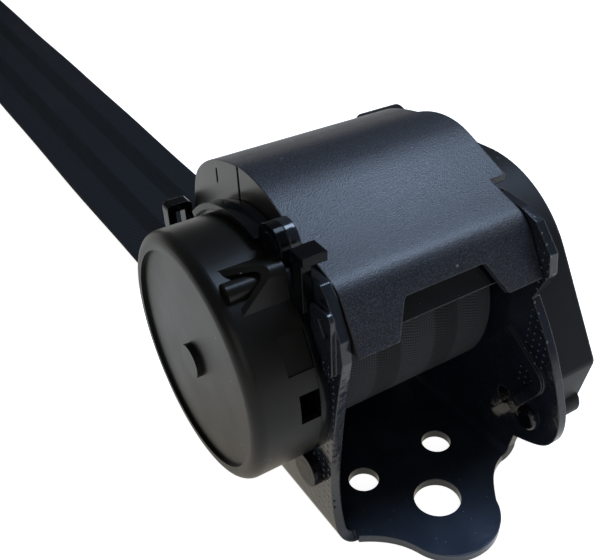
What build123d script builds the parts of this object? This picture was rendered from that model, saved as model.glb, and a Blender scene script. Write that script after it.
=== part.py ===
from build123d import *
import os
from math import asin, atan2, cos, hypot, radians, sin, sqrt, tan

# A car seat belt retractor lying on its fixing face, with its webbing drawn out to the rear.
# Origin: centre of the anchor hole, on the fixing face. +Z is up off that face, +X runs along the
# spool from the spring side to the sensor side, and +Y points from the anchor tongue to the webbing.

os.makedirs("parts", exist_ok=True)

# Webbing
web_width = 47.0
web_thick = 1.2
web_level = 6.6            # height of the drawn webbing's mid-plane
roll_radius = 26.0
strap_end = 612.0          # where the webbing turns round the bar of the end anchor plate
sewn_length = 55.0

# Frame, bent from one sheet
sheet = 2.5
side_room = 3.0            # between the webbing's edge and each side wall
bend_radius = 2.0
wall_rear_height = 58.0    # of the walls' rear edge
frame_rear = 78.0
anchor_hole = 12.7         # diameters
fixing_hole = 8.3
fixing_spacing = 25.3
fixing_back = 16.4         # from the anchor hole, along Y
tongue_front = -19.4
base_shoulder = 1.4        # where the base plate reaches its full width
crown_radius = 33.2        # the walls' rear top edge, round the spool

# Spool and its bearings
spool_y = 38.0
spool_z = 47.0
core_radius = 10.0
core_margin = 0.8          # of the core past each edge of the webbing
journal_radius = 7.0
bush_wall = 2.0
collar_radius = 11.5
collar_thick = 1.8
bar_radius = 4.4
running_gap = 0.05         # radial clearance of shafts and pins
seat_gap = 0.1             # between pieces that lie against each other
free_gap = 0.3             # between pieces that pass each other

# Locking side
ratchet_radius = 21.0
ratchet_depth = 3.4
ratchet_teeth = 24
ratchet_thick = 3.0
flywheel_radius = 19.0
flywheel_depth = 2.0
flywheel_teeth = 24
flywheel_thick = 4.2
flywheel_web = 1.6
pawl_pivot = (6.0, 22.0)   # Y and Z
pawl_eye = 4.5
pawl_pin_radius = 2.4
pawl_swing = 5.0           # degrees from rest to fully engaged
pawl_angle = 156.0         # where its tooth meets the ratchet, round the spool
pawl_bite = 2.4            # how deep its tooth goes
lever_pivot = (63.0, 22.5)
lever_pin_radius = 1.0
lever_arm = 1.8
lever_tooth = 0.9
lever_swing = 5.0
lever_angle = 256.6
lever_bite = 1.2
ball_radius = 3.6

# Sensor cover
sensor_depth = 14.0
sensor_wall = 1.8
sensor_floor = 5.0
sensor_rear = 76.0
dome_corner = (18.5, 78.9)  # where its sloping front would meet its top
dome_radius = 33.0
sensor_boss = (76.0, 69.5)
sensor_boss_radius = 6.0
cover_pin = (-3.6, 20.6)
cover_pin_radius = 2.0
cover_pin_head = 3.5

# Spring side
housing_thick = 2.4
housing_radius = 34.0
housing_rim = 1.5
housing_rim_height = 1.2
spring_cover_radius = 31.5
spring_cover_wall = 1.8
spring_cover_face = 48.0   # distance of its rim from the middle of the spool
spring_cover_recess = 1.0
face_rim = 4.1             # width of the raised rim round the cover's face
cover_round = 3.0
hub_radius = 4.3
hub_height = 1.5
arbor_radius = 6.0
spring_turns = 7
spring_strip = 0.6
spring_width = 9.0
push_pin_circle = 35.8
push_pin_angles = (111, 231, 346)
push_pin_radius = 1.6
push_pin_head = 2.8
push_pin_boss = 4.8
push_pin_cap = 1.0
housing_sector = (40, 135)     # where the housing's edge stands out past the spring cover
ridge_sector = (44, 104)
hook_foot = (14.2, 70.0)
hook_top = 84.0
hook_width = 5.0
hook_height = 2.2
hook_reach = 5.8
scoop_angle = 120.0        # round the spool, from +Y towards +Z
scoop_half = 6.9           # half width of its section at the foot
scoop_foot = 2.0           # depth of the foot under the cover's surface
scoop_peak = 7.0           # where its two flanks would meet above that surface
scoop_crest = 3.0          # radius that rounds the peak
scoop_wall = 1.2
scoop_depth = 9.0
scoop_lean = 1.4           # how far its mouth slants back for each millimetre outwards
nub_radius = 2.4
recess_angle = 151.0
window_angle = 176.0

# Top cover
cover_wall = 1.8
cover_lip_y = -0.6
cover_lip_z = 64.0
cover_rear_z = 58.0
notch_bottom = 15.7        # half widths of the notch in its front edge
notch_top = 11.4
notch_height = 7.4
eave_reach = 2.0           # of the cover's skin past the outside of the right wall
eave_span = (22.0, 66.0)   # along Y
tie_height = 11.0
tie_thick = 2.0
tie_tab = 4.0

# Webbing guide
guide_front = 74.0
guide_rear = 84.0
guide_height = 22.0
guide_overlap = 2.5
slot_height = 4.8
slot_margin = 0.8
ear_reach = 7.0
ear_top = 64.5
ear_bar = 2.2
ear_thick = 3.4

# Latch tongue and end anchor plate
tongue_place = 508.0
grip_width = web_width + 19
grip_height = 34.0
grip_thick = 12.0
blade_width = 24.0
blade_top = 76.0
blade_thick = 2.6
window_width = 13.0
window_height = 15.0
plate_thick = 2.5
plate_width = web_width + 13
bar_width = 6.0
plate_reach = 34.0         # from the bar to the anchor hole of the end plate
plate_drop = 12.0

# Places worked out from the sizes above
wall_in = web_width / 2 + side_room
wall_out = wall_in + sheet
wall_height = spool_z + crown_radius + 11
core_length = web_width + 2 * core_margin
recess_radius = spring_cover_radius - face_rim
bend_outer = bend_radius + sheet
wall_cut = wall_in - bend_radius
tie_tilt = radians(59.0)   # lean of the tie plate and of the cover's front, from the level
spool_axis = Axis((0, spool_y, spool_z), (1, 0, 0))


def wheel_plane(x):
    """A plane square to the spool's axis at x, with its origin on the axis."""
    return Plane((x, spool_y, spool_z), x_dir=(0, 1, 0), z_dir=(1, 0, 0))


def side_plane(x):
    """A plane square to the X axis, whose own x and y are Y and Z."""
    return Plane((x, 0, 0), x_dir=(0, 1, 0), z_dir=(1, 0, 0))


def turning_plane():
    """The upright plane through the spool's axis: its own x is X, its own y is the radius."""
    return Plane((0, spool_y, spool_z), x_dir=(1, 0, 0), z_dir=(0, -1, 0))


def round_spool(radius, angle):
    """(Y, Z) of a point at that radius and angle round the spool's axis."""
    return (spool_y + radius * cos(radians(angle)), spool_z + radius * sin(radians(angle)))


def turned(point, centre, angle):
    """(Y, Z) of point after a turn about centre by angle degrees."""
    y, z = point[0] - centre[0], point[1] - centre[1]
    c, s = cos(radians(angle)), sin(radians(angle))
    return (centre[0] + y * c - z * s, centre[1] + y * s + z * c)


def wall_plane(radius, angle):
    """A plane that touches the cylinder of that radius round the spool at angle; its own x is X."""
    outwards = (0, cos(radians(angle)), sin(radians(angle)))
    return Plane((0, *round_spool(radius, angle)), x_dir=(1, 0, 0), z_dir=outwards)


def save(piece, name):
    """Labels a finished piece and writes it."""
    piece.part.label = name
    export_step(piece.part, f"parts/{name}.step")


# Frame: a channel bent from sheet, trimmed to the outlines of its base and of its two walls
pin_places = [round_spool(push_pin_circle, angle) for angle in push_pin_angles]
crown_start = round_spool(crown_radius, 114)
crown_mid = round_spool(crown_radius, 80)
crown_end = round_spool(crown_radius, 42)
left_front = [(base_shoulder, -1), (5.2, 6), (6.9, 15), (6.3, 30), (4.3, 46), (1.6, 62)]
right_lobe = [(0.3, 10.4), (-6.0, 12.9), (-11.8, 17.0), (-13.8, 23.0), (-11.7, 33.3), (-7.9, 42.1), (-2.5, 51.0)]
wall_shoulder = [(2.4, 67.4), (7.2, 75.8), (9.6, 77.9), (17.5, 78.2)]
right_notch = [(1.8, 56.6), (-2.2, 65.3), (-1.4, 70.6), (4.4, 76.6)]
rear_edge = [(frame_rear + 1, wall_rear_height), (frame_rear + 1, -1)]
tie_plane = Plane(
    (0, cover_lip_y + 3.8, cover_lip_z + 1.0), x_dir=(1, 0, 0), z_dir=(0, -sin(tie_tilt), cos(tie_tilt))
)

with BuildPart() as frame:
    with BuildSketch(Plane.XZ.offset(-frame_rear)) as channel:
        Rectangle(2 * wall_out, wall_height, align=(Align.CENTER, Align.MIN))
        fillet(channel.vertices().group_by(Axis.Y)[0], bend_outer)
        with Locations((0, sheet)):
            RectangleRounded(
                2 * wall_in, 2 * wall_height, bend_radius, align=(Align.CENTER, Align.MIN), mode=Mode.SUBTRACT
            )
    extrude(amount=frame_rear - tongue_front + 1)

    # what lies in front of the tongue
    with BuildSketch(Plane.XY.offset(-1)):
        with BuildLine():
            tip = ThreePointArc((-14.2, -9.6), (-1.0, tongue_front), (12.4, -9.6))
            left_flank = Spline((-wall_cut, base_shoulder), (-20.6, -1.2), (-16.9, -4.9), tip @ 0)
            right_flank = Spline(tip @ 1, (15.2, -5.6), (19.4, -1.2), (wall_cut, base_shoulder))
            Polyline(
                right_flank @ 1, (wall_cut, tongue_front - 5), (-wall_cut, tongue_front - 5), left_flank @ 0
            )
        make_face()
    extrude(amount=sheet + 2, mode=Mode.SUBTRACT)

    # what lies outside the outline of the left wall
    with BuildSketch(side_plane(-wall_out - 1)) as left_trim:
        with Locations((frame_rear / 2, wall_height / 2)):
            Rectangle(2 * frame_rear, 2 * wall_height)
        with BuildLine():
            edge = Spline(*left_front)
            crown = ThreePointArc(crown_start, crown_mid, crown_end)
            Polyline(edge @ 1, *wall_shoulder, crown @ 0)
            Polyline(crown @ 1, *rear_edge, edge @ 0)
        make_face(mode=Mode.SUBTRACT)
        with Locations(pin_places[0]):
            Circle(push_pin_boss, mode=Mode.SUBTRACT)
    extrude(amount=wall_out + 1 - wall_cut, mode=Mode.SUBTRACT)

    # what lies outside the outline of the right wall, whose front carries a lobe
    with BuildSketch(side_plane(wall_cut)) as right_trim:
        with Locations((frame_rear / 2, wall_height / 2)):
            Rectangle(2 * frame_rear, 2 * wall_height)
        with BuildLine():
            lobe = Spline(*right_lobe)
            crown = ThreePointArc(crown_start, crown_mid, crown_end)
            Polyline(lobe @ 1, *right_notch, *wall_shoulder[2:], crown @ 0)
            Polyline(crown @ 1, *rear_edge, (base_shoulder, -1))
            Polyline((base_shoulder, -1), (base_shoulder, 5), lobe @ 0)
        make_face(mode=Mode.SUBTRACT)
    extrude(amount=wall_out + 1 - wall_cut, mode=Mode.SUBTRACT)

    # pressed bead on the right wall, raised inside and sunk outside
    for bead_x, bead_mode in ((wall_in - 0.9, Mode.ADD), (wall_out - 0.9, Mode.SUBTRACT)):
        with BuildSketch(side_plane(bead_x)):
            with BuildLine():
                FilletPolyline((8.5, 43.6), (-6.4, 34.4), (7.9, 13.2), radius=3)
            trace(line_width=3.2)
        extrude(amount=0.9, mode=bead_mode)

    # embossed pad on the outside of the left wall
    with BuildSketch(side_plane(-wall_out)):
        with Locations((8.0, 65.0)):
            RectangleRounded(8.0, 17.0, 2)
        with Locations((spool_y, spool_z)):
            Circle(spring_cover_radius + 1.0, mode=Mode.SUBTRACT)
    extrude(amount=-1.2)

    # bearing holes, anchor hole and fixing holes
    with BuildSketch(wheel_plane(-wall_out - 1)):
        Circle(journal_radius + running_gap + bush_wall + running_gap)
    extrude(amount=2 * wall_out + 2, mode=Mode.SUBTRACT)
    with BuildSketch(Plane.XY):
        Circle(anchor_hole / 2)
        with Locations((0, fixing_back)):
            with GridLocations(fixing_spacing, 1, 2, 1):
                Circle(fixing_hole / 2)
    extrude(amount=sheet, mode=Mode.SUBTRACT)

    # holes for the push pins, the pawl's stud and the sensor cover's pin
    with BuildSketch(side_plane(-wall_out - 1)):
        with Locations(*pin_places):
            Circle(push_pin_radius + running_gap)
    extrude(amount=sheet + 2, mode=Mode.SUBTRACT)
    with BuildSketch(side_plane(wall_in - 1)):
        with Locations(pawl_pivot):
            Circle(pawl_pin_radius + running_gap)
        with Locations(cover_pin):
            Circle(cover_pin_radius + running_gap)
    extrude(amount=sheet + 2, mode=Mode.SUBTRACT)

    # slots for the tabs of the tie plate
    with BuildSketch(tie_plane.offset(seat_gap)):
        with Locations((0, tie_height / 2)):
            Rectangle(2 * wall_out + 4, tie_tab + 2 * seat_gap)
    extrude(amount=-(tie_thick + 2 * seat_gap), mode=Mode.SUBTRACT)
save(frame, "frame")

with BuildPart() as tie_plate:
    with BuildSketch(tie_plane):
        Rectangle(2 * (wall_in - seat_gap), tie_height, align=(Align.CENTER, Align.MIN))
        with Locations((0, tie_height / 2)):
            Rectangle(2 * wall_out + 1, tie_tab)
    extrude(amount=-tie_thick)
save(tie_plate, "tie_plate")

# Top cover: a humped shell between the two walls, closed at both ends and notched in front
cover_half = wall_in - free_gap
front_foot = (cover_lip_y - 10 / tan(tie_tilt), cover_lip_z - 10)
front_top = (cover_lip_y + 13.4 / tan(tie_tilt), cover_lip_z + 13.4)
rear_foot = (77.5, cover_lip_z - 10)
cover_corners = [front_top, (22.0, 79.6), (43.0, 89.4), (61.0, 84.2), (73.8, 76.0)]
cover_radii = [6, 25, 14, 40, 12]


def cover_outline():
    """The closed outline of the top cover in Y and Z."""
    with BuildLine() as outline:
        crest = FilletPolyline(front_foot, *cover_corners, rear_foot, radius=cover_radii)
        Line(crest @ 1, crest @ 0)
    return outline.line


with BuildPart() as top_cover:
    with BuildSketch(side_plane(-cover_half)):
        make_face(cover_outline())
    extrude(amount=2 * cover_half)
    with BuildSketch(side_plane(-cover_half + cover_wall)):
        make_face(cover_outline())
        offset(amount=-cover_wall)
    extrude(amount=2 * (cover_half - cover_wall), mode=Mode.SUBTRACT)
    # the hump's skin also roofs the right wall
    with BuildSketch(side_plane(cover_half - cover_wall)):
        make_face(cover_outline())
        offset(amount=-cover_wall, mode=Mode.SUBTRACT)
        with Locations((eave_span[0], wall_height)):
            Rectangle(
                eave_span[1] - eave_span[0], wall_height - cover_lip_z, align=(Align.MIN, Align.MAX), mode=Mode.INTERSECT
            )
    extrude(amount=wall_out + eave_reach - cover_half + cover_wall)
    with BuildSketch(side_plane(-wall_out)):
        Polygon((-30, cover_lip_z), (100, cover_rear_z), (100, 40), (-30, 40), align=None)
    extrude(amount=2 * wall_out, mode=Mode.SUBTRACT)
    # slots in the end walls for the tie plate
    with BuildSketch(tie_plane.offset(seat_gap)):
        with Locations((0, -tie_height)):
            Rectangle(2 * wall_in, 2 * tie_height + seat_gap, align=(Align.CENTER, Align.MIN))
    extrude(amount=-(tie_thick + 2 * seat_gap), mode=Mode.SUBTRACT)
    # the notch through which the roll shows
    with BuildSketch(Plane.XZ.offset(-12)) as notch:
        Polygon(
            (-notch_bottom, cover_lip_z - 1), (notch_bottom, cover_lip_z - 1),
            (notch_top, cover_lip_z + notch_height), (-notch_top, cover_lip_z + notch_height), align=None,
        )
        fillet(notch.vertices().group_by(Axis.Y)[-1], 1.6)
    extrude(amount=24, mode=Mode.SUBTRACT)
    # two slits in the left end wall
    with BuildSketch(side_plane(-wall_in)):
        with Locations((48.4, 80.8)):
            Rectangle(0.9, 8.0)
        with Locations((59.8, 79.6)):
            Rectangle(0.8, 2.8)
    extrude(amount=free_gap + cover_wall, mode=Mode.SUBTRACT)
save(top_cover, "top_cover")

# Webbing guide: a plastic mouth across the rear of the frame, with an ear behind the spring cover
slot_half = web_width / 2 + slot_margin
plug_half = wall_in - seat_gap
block_half = wall_out + guide_overlap

with BuildPart() as webbing_guide:
    with BuildSketch(Plane.XY.offset(sheet + seat_gap)):
        with Locations((0, guide_front)):
            Rectangle(2 * (plug_half - bend_radius), frame_rear - guide_front + seat_gap, align=(Align.CENTER, Align.MIN))
    extrude(amount=guide_height - sheet - seat_gap)
    with BuildSketch(Plane.XY.offset(1.0)) as mouth:
        with Locations((0, frame_rear + seat_gap)):
            Rectangle(2 * block_half, guide_rear - frame_rear - seat_gap, align=(Align.CENTER, Align.MIN))
        fillet(mouth.vertices().group_by(Axis.Y)[-1], 2)
    extrude(amount=guide_height - 1.0)
    # the ear, an open loop that rises outside the left wall
    with BuildSketch(Plane.XZ.offset(-(frame_rear + seat_gap + ear_thick))) as ear:
        with Locations((free_gap - wall_in, guide_height - 2)):
            Rectangle(ear_reach, ear_top - guide_height + 2, align=(Align.MAX, Align.MIN))
        fillet(ear.vertices().group_by(Axis.Y)[-1], 1.5)
        with Locations((free_gap - wall_in - ear_bar, ear_top - ear_bar)):
            Rectangle(ear_reach - 2 * ear_bar, 16, align=(Align.MAX, Align.MAX), mode=Mode.SUBTRACT)
    extrude(amount=ear_thick)
    # the slot, flared on both sides
    with BuildSketch(Plane.XZ.offset(-guide_rear)):
        with Locations((0, web_level)):
            RectangleRounded(2 * slot_half, slot_height, 1.5)
    extrude(amount=guide_rear - guide_front, mode=Mode.SUBTRACT)
save(webbing_guide, "webbing_guide")

# Spring housing: the black dish between the left wall and the spring cover
housing_back = -wall_out - seat_gap
housing_front = housing_back - housing_thick

def sector(inner, outer, start, end):
    """A ring sector round the spool, drawn in a wheel plane, between two angles under 180 degrees apart."""
    rim = [(reach * cos(radians(angle)), reach * sin(radians(angle))) for reach, angle in (
        (outer, start), (outer, (start + end) / 2), (outer, end), (inner, end), (inner, (start + end) / 2), (inner, start),
    )]
    with BuildLine() as edges:
        ThreePointArc(*rim[:3])
        Line(rim[2], rim[3])
        ThreePointArc(*rim[3:])
        Line(rim[5], rim[0])
    return edges.line


with BuildPart() as spring_housing:
    with BuildSketch(wheel_plane(housing_front)):
        Circle(spring_cover_radius)
        make_face(sector(spring_cover_radius - 1, housing_radius, *housing_sector))
        Circle(journal_radius + free_gap, mode=Mode.SUBTRACT)
    extrude(amount=housing_thick)
    with BuildSketch(wheel_plane(housing_front - housing_rim_height)):
        make_face(sector(housing_radius - housing_rim, housing_radius, *ridge_sector))
    extrude(amount=housing_rim_height)
    with BuildSketch(side_plane(housing_front)):
        with Locations(*pin_places):
            Circle(push_pin_boss)
    extrude(amount=housing_thick)
    # the hook that reaches over the edge of the top cover
    with BuildSketch(side_plane(housing_front)):
        with Locations(hook_foot):
            Rectangle(hook_width - 1.6, hook_top - hook_foot[1], align=(Align.CENTER, Align.MIN))
    extrude(amount=housing_thick)
    with BuildSketch(Plane.XY.offset(hook_top)):
        with Locations((housing_front, hook_foot[0])):
            Rectangle(hook_reach, hook_width, align=(Align.MIN, Align.CENTER))
    extrude(amount=-hook_height)
    # stepped bores of the push pins
    with BuildSketch(side_plane(housing_front)):
        with Locations(*pin_places):
            Circle(push_pin_radius + running_gap)
    extrude(amount=housing_thick, mode=Mode.SUBTRACT)
    with BuildSketch(side_plane(housing_front)):
        with Locations(*pin_places):
            Circle(push_pin_head + running_gap)
    extrude(amount=push_pin_cap, mode=Mode.SUBTRACT)
save(spring_housing, "spring_housing")

# Push pins that hold the spring housing on the frame, their heads flush in its face
with BuildPart() as push_pins:
    with BuildSketch(side_plane(housing_front)):
        with Locations(*pin_places):
            Circle(push_pin_radius)
    extrude(amount=housing_thick + seat_gap + sheet)
    with BuildSketch(side_plane(housing_front)):
        with Locations(*pin_places):
            Circle(push_pin_head)
    extrude(amount=push_pin_cap - seat_gap)
save(push_pins, "push_pins")

# Spring cover: a round cup with a recessed face, a middle nub, a scoop and two windows in its wall
cup_back = housing_front - seat_gap
cup_inner = spring_cover_radius - spring_cover_wall
cup_floor = -spring_cover_face + spring_cover_recess + spring_cover_wall
scoop_start = -spring_cover_face + cover_round + 2.8
scoop_tip = scoop_start - scoop_lean * scoop_foot
scoop_slant = Plane(
    (scoop_start, *round_spool(spring_cover_radius, scoop_angle)),
    z_dir=(-1, scoop_lean * cos(radians(scoop_angle)), scoop_lean * sin(radians(scoop_angle))),
)


def scoop_plane(x):
    """A plane square to the X axis at x, whose own x points out of the cover's wall at the scoop."""
    outwards = (0, cos(radians(scoop_angle)), sin(radians(scoop_angle)))
    return Plane((x, *round_spool(spring_cover_radius, scoop_angle)), x_dir=outwards, z_dir=(1, 0, 0))


with BuildSketch() as scoop_section:
    Polygon((-scoop_foot, -scoop_half), (scoop_peak, 0), (-scoop_foot, scoop_half), align=None)
    fillet(scoop_section.vertices().group_by(Axis.X)[-1], scoop_crest)

with BuildPart() as scoop:
    with BuildSketch(scoop_plane(scoop_tip)):
        add(scoop_section.sketch)
    extrude(amount=cup_back - scoop_tip)
    split(bisect_by=scoop_slant, keep=Keep.BOTTOM)
    with BuildSketch(scoop_plane(scoop_tip)):
        add(scoop_section.sketch)
        offset(amount=-scoop_wall)
    extrude(amount=scoop_start + scoop_depth - scoop_tip, mode=Mode.SUBTRACT)
    # a half-round nub that runs into the scoop's mouth
    with BuildSketch(scoop_plane(scoop_start - 2.2)):
        Circle(nub_radius)
    extrude(amount=scoop_depth + 2.2)

with BuildPart() as spring_cover:
    with BuildSketch(turning_plane()) as cup:
        with BuildLine():
            Polyline(
                (cup_back, 0), (cup_back, spring_cover_radius), (-spring_cover_face, spring_cover_radius),
                (-spring_cover_face, recess_radius), (-spring_cover_face + spring_cover_recess, recess_radius),
                (-spring_cover_face + spring_cover_recess, 0), close=True,
            )
        make_face()
        fillet(cup.vertices().sort_by(Axis.X)[:2].sort_by(Axis.Y)[-1], cover_round)
    revolve(axis=spool_axis)
    add(scoop.part)
    # hollow for the spring
    with BuildSketch(wheel_plane(cup_floor)):
        Circle(cup_inner)
    extrude(amount=cup_back - cup_floor, mode=Mode.SUBTRACT)
    # middle nub
    with BuildSketch(wheel_plane(-spring_cover_face + spring_cover_recess)):
        Circle(hub_radius)
    extrude(amount=-hub_height)
    # shallow recess and latch window at the rear edge of the wall
    with BuildSketch(wall_plane(spring_cover_radius, recess_angle)):
        with Locations((cup_back, 0)):
            Rectangle(6.5, 9.0, align=(Align.MAX, Align.CENTER))
    extrude(amount=-0.7, mode=Mode.SUBTRACT)
    with BuildSketch(wall_plane(spring_cover_radius, window_angle)):
        with Locations((cup_back, 0)):
            Rectangle(5.0, 8.0, align=(Align.MAX, Align.CENTER))
    extrude(amount=-2 * spring_cover_wall, mode=Mode.SUBTRACT)
save(spring_cover, "spring_cover")

# Power spring: a flat strip wound in a spiral of half turns between the arbor and the cup
spring_inner = arbor_radius + free_gap + spring_strip / 2
spring_outer = cup_inner - seat_gap - spring_strip / 2
half_step = (spring_outer - spring_inner) / (2 * spring_turns)
spring_back = cup_floor + 1.2


def spiral_side(offset_by):
    """Half circles of the spiral, each half_step larger than the last, moved outwards by offset_by."""
    arcs = []
    for turn in range(2 * spring_turns):
        radius = spring_inner + turn * half_step + offset_by
        centre = half_step if turn % 2 else 0
        side = -1 if turn % 2 else 1
        arcs.append(((centre + side * radius, 0), (centre, side * radius), (centre - side * radius, 0)))
    return arcs


with BuildPart() as power_spring:
    with BuildSketch(wheel_plane(spring_back)):
        with BuildLine():
            outer_side = spiral_side(spring_strip / 2)
            inner_side = spiral_side(-spring_strip / 2)
            for arc in outer_side + inner_side:
                ThreePointArc(*arc)
            Line(outer_side[0][0], inner_side[0][0])
            Line(outer_side[-1][-1], inner_side[-1][-1])
        make_face()
    extrude(amount=spring_width)
save(power_spring, "power_spring")

# Bearing bushes, one in each wall, with their collars inside
for side, side_name in ((-1, "left"), (1, "right")):
    with BuildPart() as bush:
        with BuildSketch(wheel_plane(side * wall_out)):
            Circle(journal_radius + running_gap + bush_wall)
        extrude(amount=-side * (sheet + seat_gap + collar_thick))
        with BuildSketch(wheel_plane(side * (wall_in - seat_gap))):
            Circle(collar_radius)
        extrude(amount=-side * collar_thick)
        with BuildSketch(wheel_plane(side * wall_out)):
            Circle(journal_radius + running_gap)
        extrude(amount=-side * (sheet + seat_gap + collar_thick), mode=Mode.SUBTRACT)
    save(bush, f"bearing_{side_name}")

# Spool core with a journal at each end, turned on the torsion bar
core_half = core_length / 2
journal_end = wall_out + 1.0

with BuildPart() as spool_core:
    with BuildSketch(wheel_plane(-journal_end)):
        Circle(journal_radius)
    extrude(amount=2 * journal_end)
    with BuildSketch(wheel_plane(-core_half)):
        Circle(core_radius)
    extrude(amount=core_length)
    with BuildSketch(wheel_plane(-journal_end)):
        Circle(bar_radius + running_gap)
    extrude(amount=2 * journal_end, mode=Mode.SUBTRACT)
save(spool_core, "spool_core")

# Webbing wound on the core
with BuildPart() as webbing_roll:
    with BuildSketch(wheel_plane(-web_width / 2)):
        Circle(roll_radius)
        Circle(core_radius + running_gap, mode=Mode.SUBTRACT)
    extrude(amount=web_width)
save(webbing_roll, "webbing_roll")

# Spring arbor on the left end of the torsion bar
arbor_inner = housing_front - free_gap
arbor_outer = cup_floor + 0.6

with BuildPart() as spring_arbor:
    with BuildSketch(wheel_plane(arbor_outer)):
        Circle(arbor_radius)
        Circle(bar_radius + running_gap, mode=Mode.SUBTRACT)
    extrude(amount=arbor_inner - arbor_outer)
save(spring_arbor, "spring_arbor")

# Ratchet wheel and flywheel on the right end of the bar
ratchet_x = journal_end + seat_gap
flywheel_x = ratchet_x + ratchet_thick + 1.2
bar_end = flywheel_x + flywheel_thick + 0.3


def toothed_outline(radius, depth, teeth, gap_angle, lean):
    """Corners of a saw-toothed wheel, with the middle of one gap at gap_angle; lean is its slope side."""
    corners = []
    pitch = 360 / teeth
    for tooth in range(teeth):
        start = gap_angle + tooth * pitch
        for turn, reach in ((-0.16, radius - depth), (0.16, radius - depth), (0.16 + lean, radius), (0.78, radius)):
            angle = radians(start + turn * pitch)
            corners.append((reach * cos(angle), reach * sin(angle)))
    return corners


with BuildPart() as ratchet_wheel:
    with BuildSketch(wheel_plane(ratchet_x)):
        Polygon(*toothed_outline(ratchet_radius, ratchet_depth, ratchet_teeth, pawl_angle, 0.5), align=None)
        Circle(bar_radius + running_gap, mode=Mode.SUBTRACT)
    extrude(amount=ratchet_thick)
save(ratchet_wheel, "ratchet_wheel")

with BuildPart() as flywheel:
    with BuildSketch(wheel_plane(flywheel_x)):
        Polygon(*toothed_outline(flywheel_radius, flywheel_depth, flywheel_teeth, lever_angle, 0.5), align=None)
        Circle(flywheel_radius - flywheel_depth - 2.0, mode=Mode.SUBTRACT)
        Circle(bar_radius + 2.0)
    extrude(amount=flywheel_thick)
    with BuildSketch(wheel_plane(flywheel_x)):
        Circle(flywheel_radius - flywheel_depth - 1.0)
    extrude(amount=flywheel_web)
    with BuildSketch(wheel_plane(flywheel_x)):
        Circle(bar_radius + running_gap)
    extrude(amount=flywheel_thick, mode=Mode.SUBTRACT)
save(flywheel, "flywheel")

# Torsion bar through the spool, from the arbor to the flywheel
with BuildPart() as torsion_bar:
    with BuildSketch(wheel_plane(arbor_outer)):
        Circle(bar_radius)
    extrude(amount=bar_end - arbor_outer)
    chamfer(torsion_bar.edges().filter_by(GeomType.CIRCLE), 0.5)
save(torsion_bar, "torsion_bar")

# Locking pawl on its stud: a strut in front of the ratchet wheel, loaded along its length
pawl_x = ratchet_x + 0.2
pawl_thick = ratchet_thick - 0.4
tooth_foot = ratchet_radius + 0.8
pawl_tooth = [
    (tooth_foot, -1.9), (ratchet_radius - pawl_bite, -1.2), (ratchet_radius - pawl_bite, 1.2), (tooth_foot, 5.0),
]
pawl_inner = [(ratchet_radius + 1.6, 19.0), (ratchet_radius + 5.0, 36.0)]
pawl_outer = [(ratchet_radius + 10.5, 29.0), (ratchet_radius + 8.5, 9.0), (ratchet_radius + 5.5, -3.0)]
engaged_tooth = [round_spool(radius, pawl_angle + turn) for radius, turn in pawl_tooth + pawl_inner]
engaged_back = [round_spool(radius, pawl_angle + turn) for radius, turn in pawl_outer]
eye_sides = [(pawl_pivot[0] + pawl_eye, pawl_pivot[1]), (pawl_pivot[0] - pawl_eye, pawl_pivot[1])]

with BuildPart() as locking_pawl:
    with BuildSketch(side_plane(pawl_x)):
        strut = [turned(corner, pawl_pivot, pawl_swing) for corner in engaged_tooth + eye_sides + engaged_back]
        Polygon(*strut, align=None)
        with Locations(pawl_pivot):
            Circle(pawl_eye)
            Circle(pawl_pin_radius + running_gap, mode=Mode.SUBTRACT)
    extrude(amount=pawl_thick)
save(locking_pawl, "locking_pawl")

# Stud of the pawl, staked flush in the right wall, with a head outside the pawl
with BuildPart() as pawl_stud:
    with BuildSketch(side_plane(wall_in)):
        with Locations(pawl_pivot):
            Circle(pawl_pin_radius)
    extrude(amount=pawl_x + pawl_thick + free_gap - wall_in)
    with BuildSketch(side_plane(pawl_x + pawl_thick + free_gap)):
        with Locations(pawl_pivot):
            Circle(pawl_pin_radius + 1.2)
    extrude(amount=1.2)
save(pawl_stud, "pawl_stud")

# Sensor cover: a faceted shell on the right wall, with a round boss at its upper rear
cover_base = wall_out + seat_gap
cover_face = wall_out + sensor_depth


def sensor_outline():
    """The outline of the sensor cover in Y and Z, seen from its open side."""
    corners = [
        (-8.7, 36.0), dome_corner, (sensor_rear, 74.0), (sensor_rear, 20.0), (sensor_rear - 6, sensor_floor),
        (6.5, sensor_floor), (-1.4, 12.4), (-5.3, 18.6),
    ]
    with BuildLine() as outline:
        FilletPolyline(*corners, radius=[2.5, dome_radius, 5, 8, 3, 4, 3, 3], close=True)
    return outline.line


with BuildPart() as sensor_cover:
    with BuildSketch(side_plane(cover_base)):
        add(sensor_outline())
        make_face()
    extrude(amount=cover_face - cover_base)
    fillet(sensor_cover.faces().sort_by(Axis.X)[-1].edges(), 1.2)
    with BuildSketch(side_plane(cover_base)):
        with Locations(sensor_boss):
            Circle(sensor_boss_radius)
        with Locations(cover_pin):
            Circle(cover_pin_radius + 2.4)
    extrude(amount=cover_face - cover_base - sensor_wall)
    with BuildSketch(side_plane(cover_base)):
        add(sensor_outline())
        make_face()
        offset(amount=-sensor_wall)
        with Locations(cover_pin):
            Circle(cover_pin_radius + 2.4, mode=Mode.SUBTRACT)
    extrude(amount=cover_face - cover_base - sensor_wall, mode=Mode.SUBTRACT)
    with BuildSketch(side_plane(cover_base)):
        with Locations(cover_pin):
            Circle(cover_pin_radius + running_gap)
    extrude(amount=6, mode=Mode.SUBTRACT)
save(sensor_cover, "sensor_cover")

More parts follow.
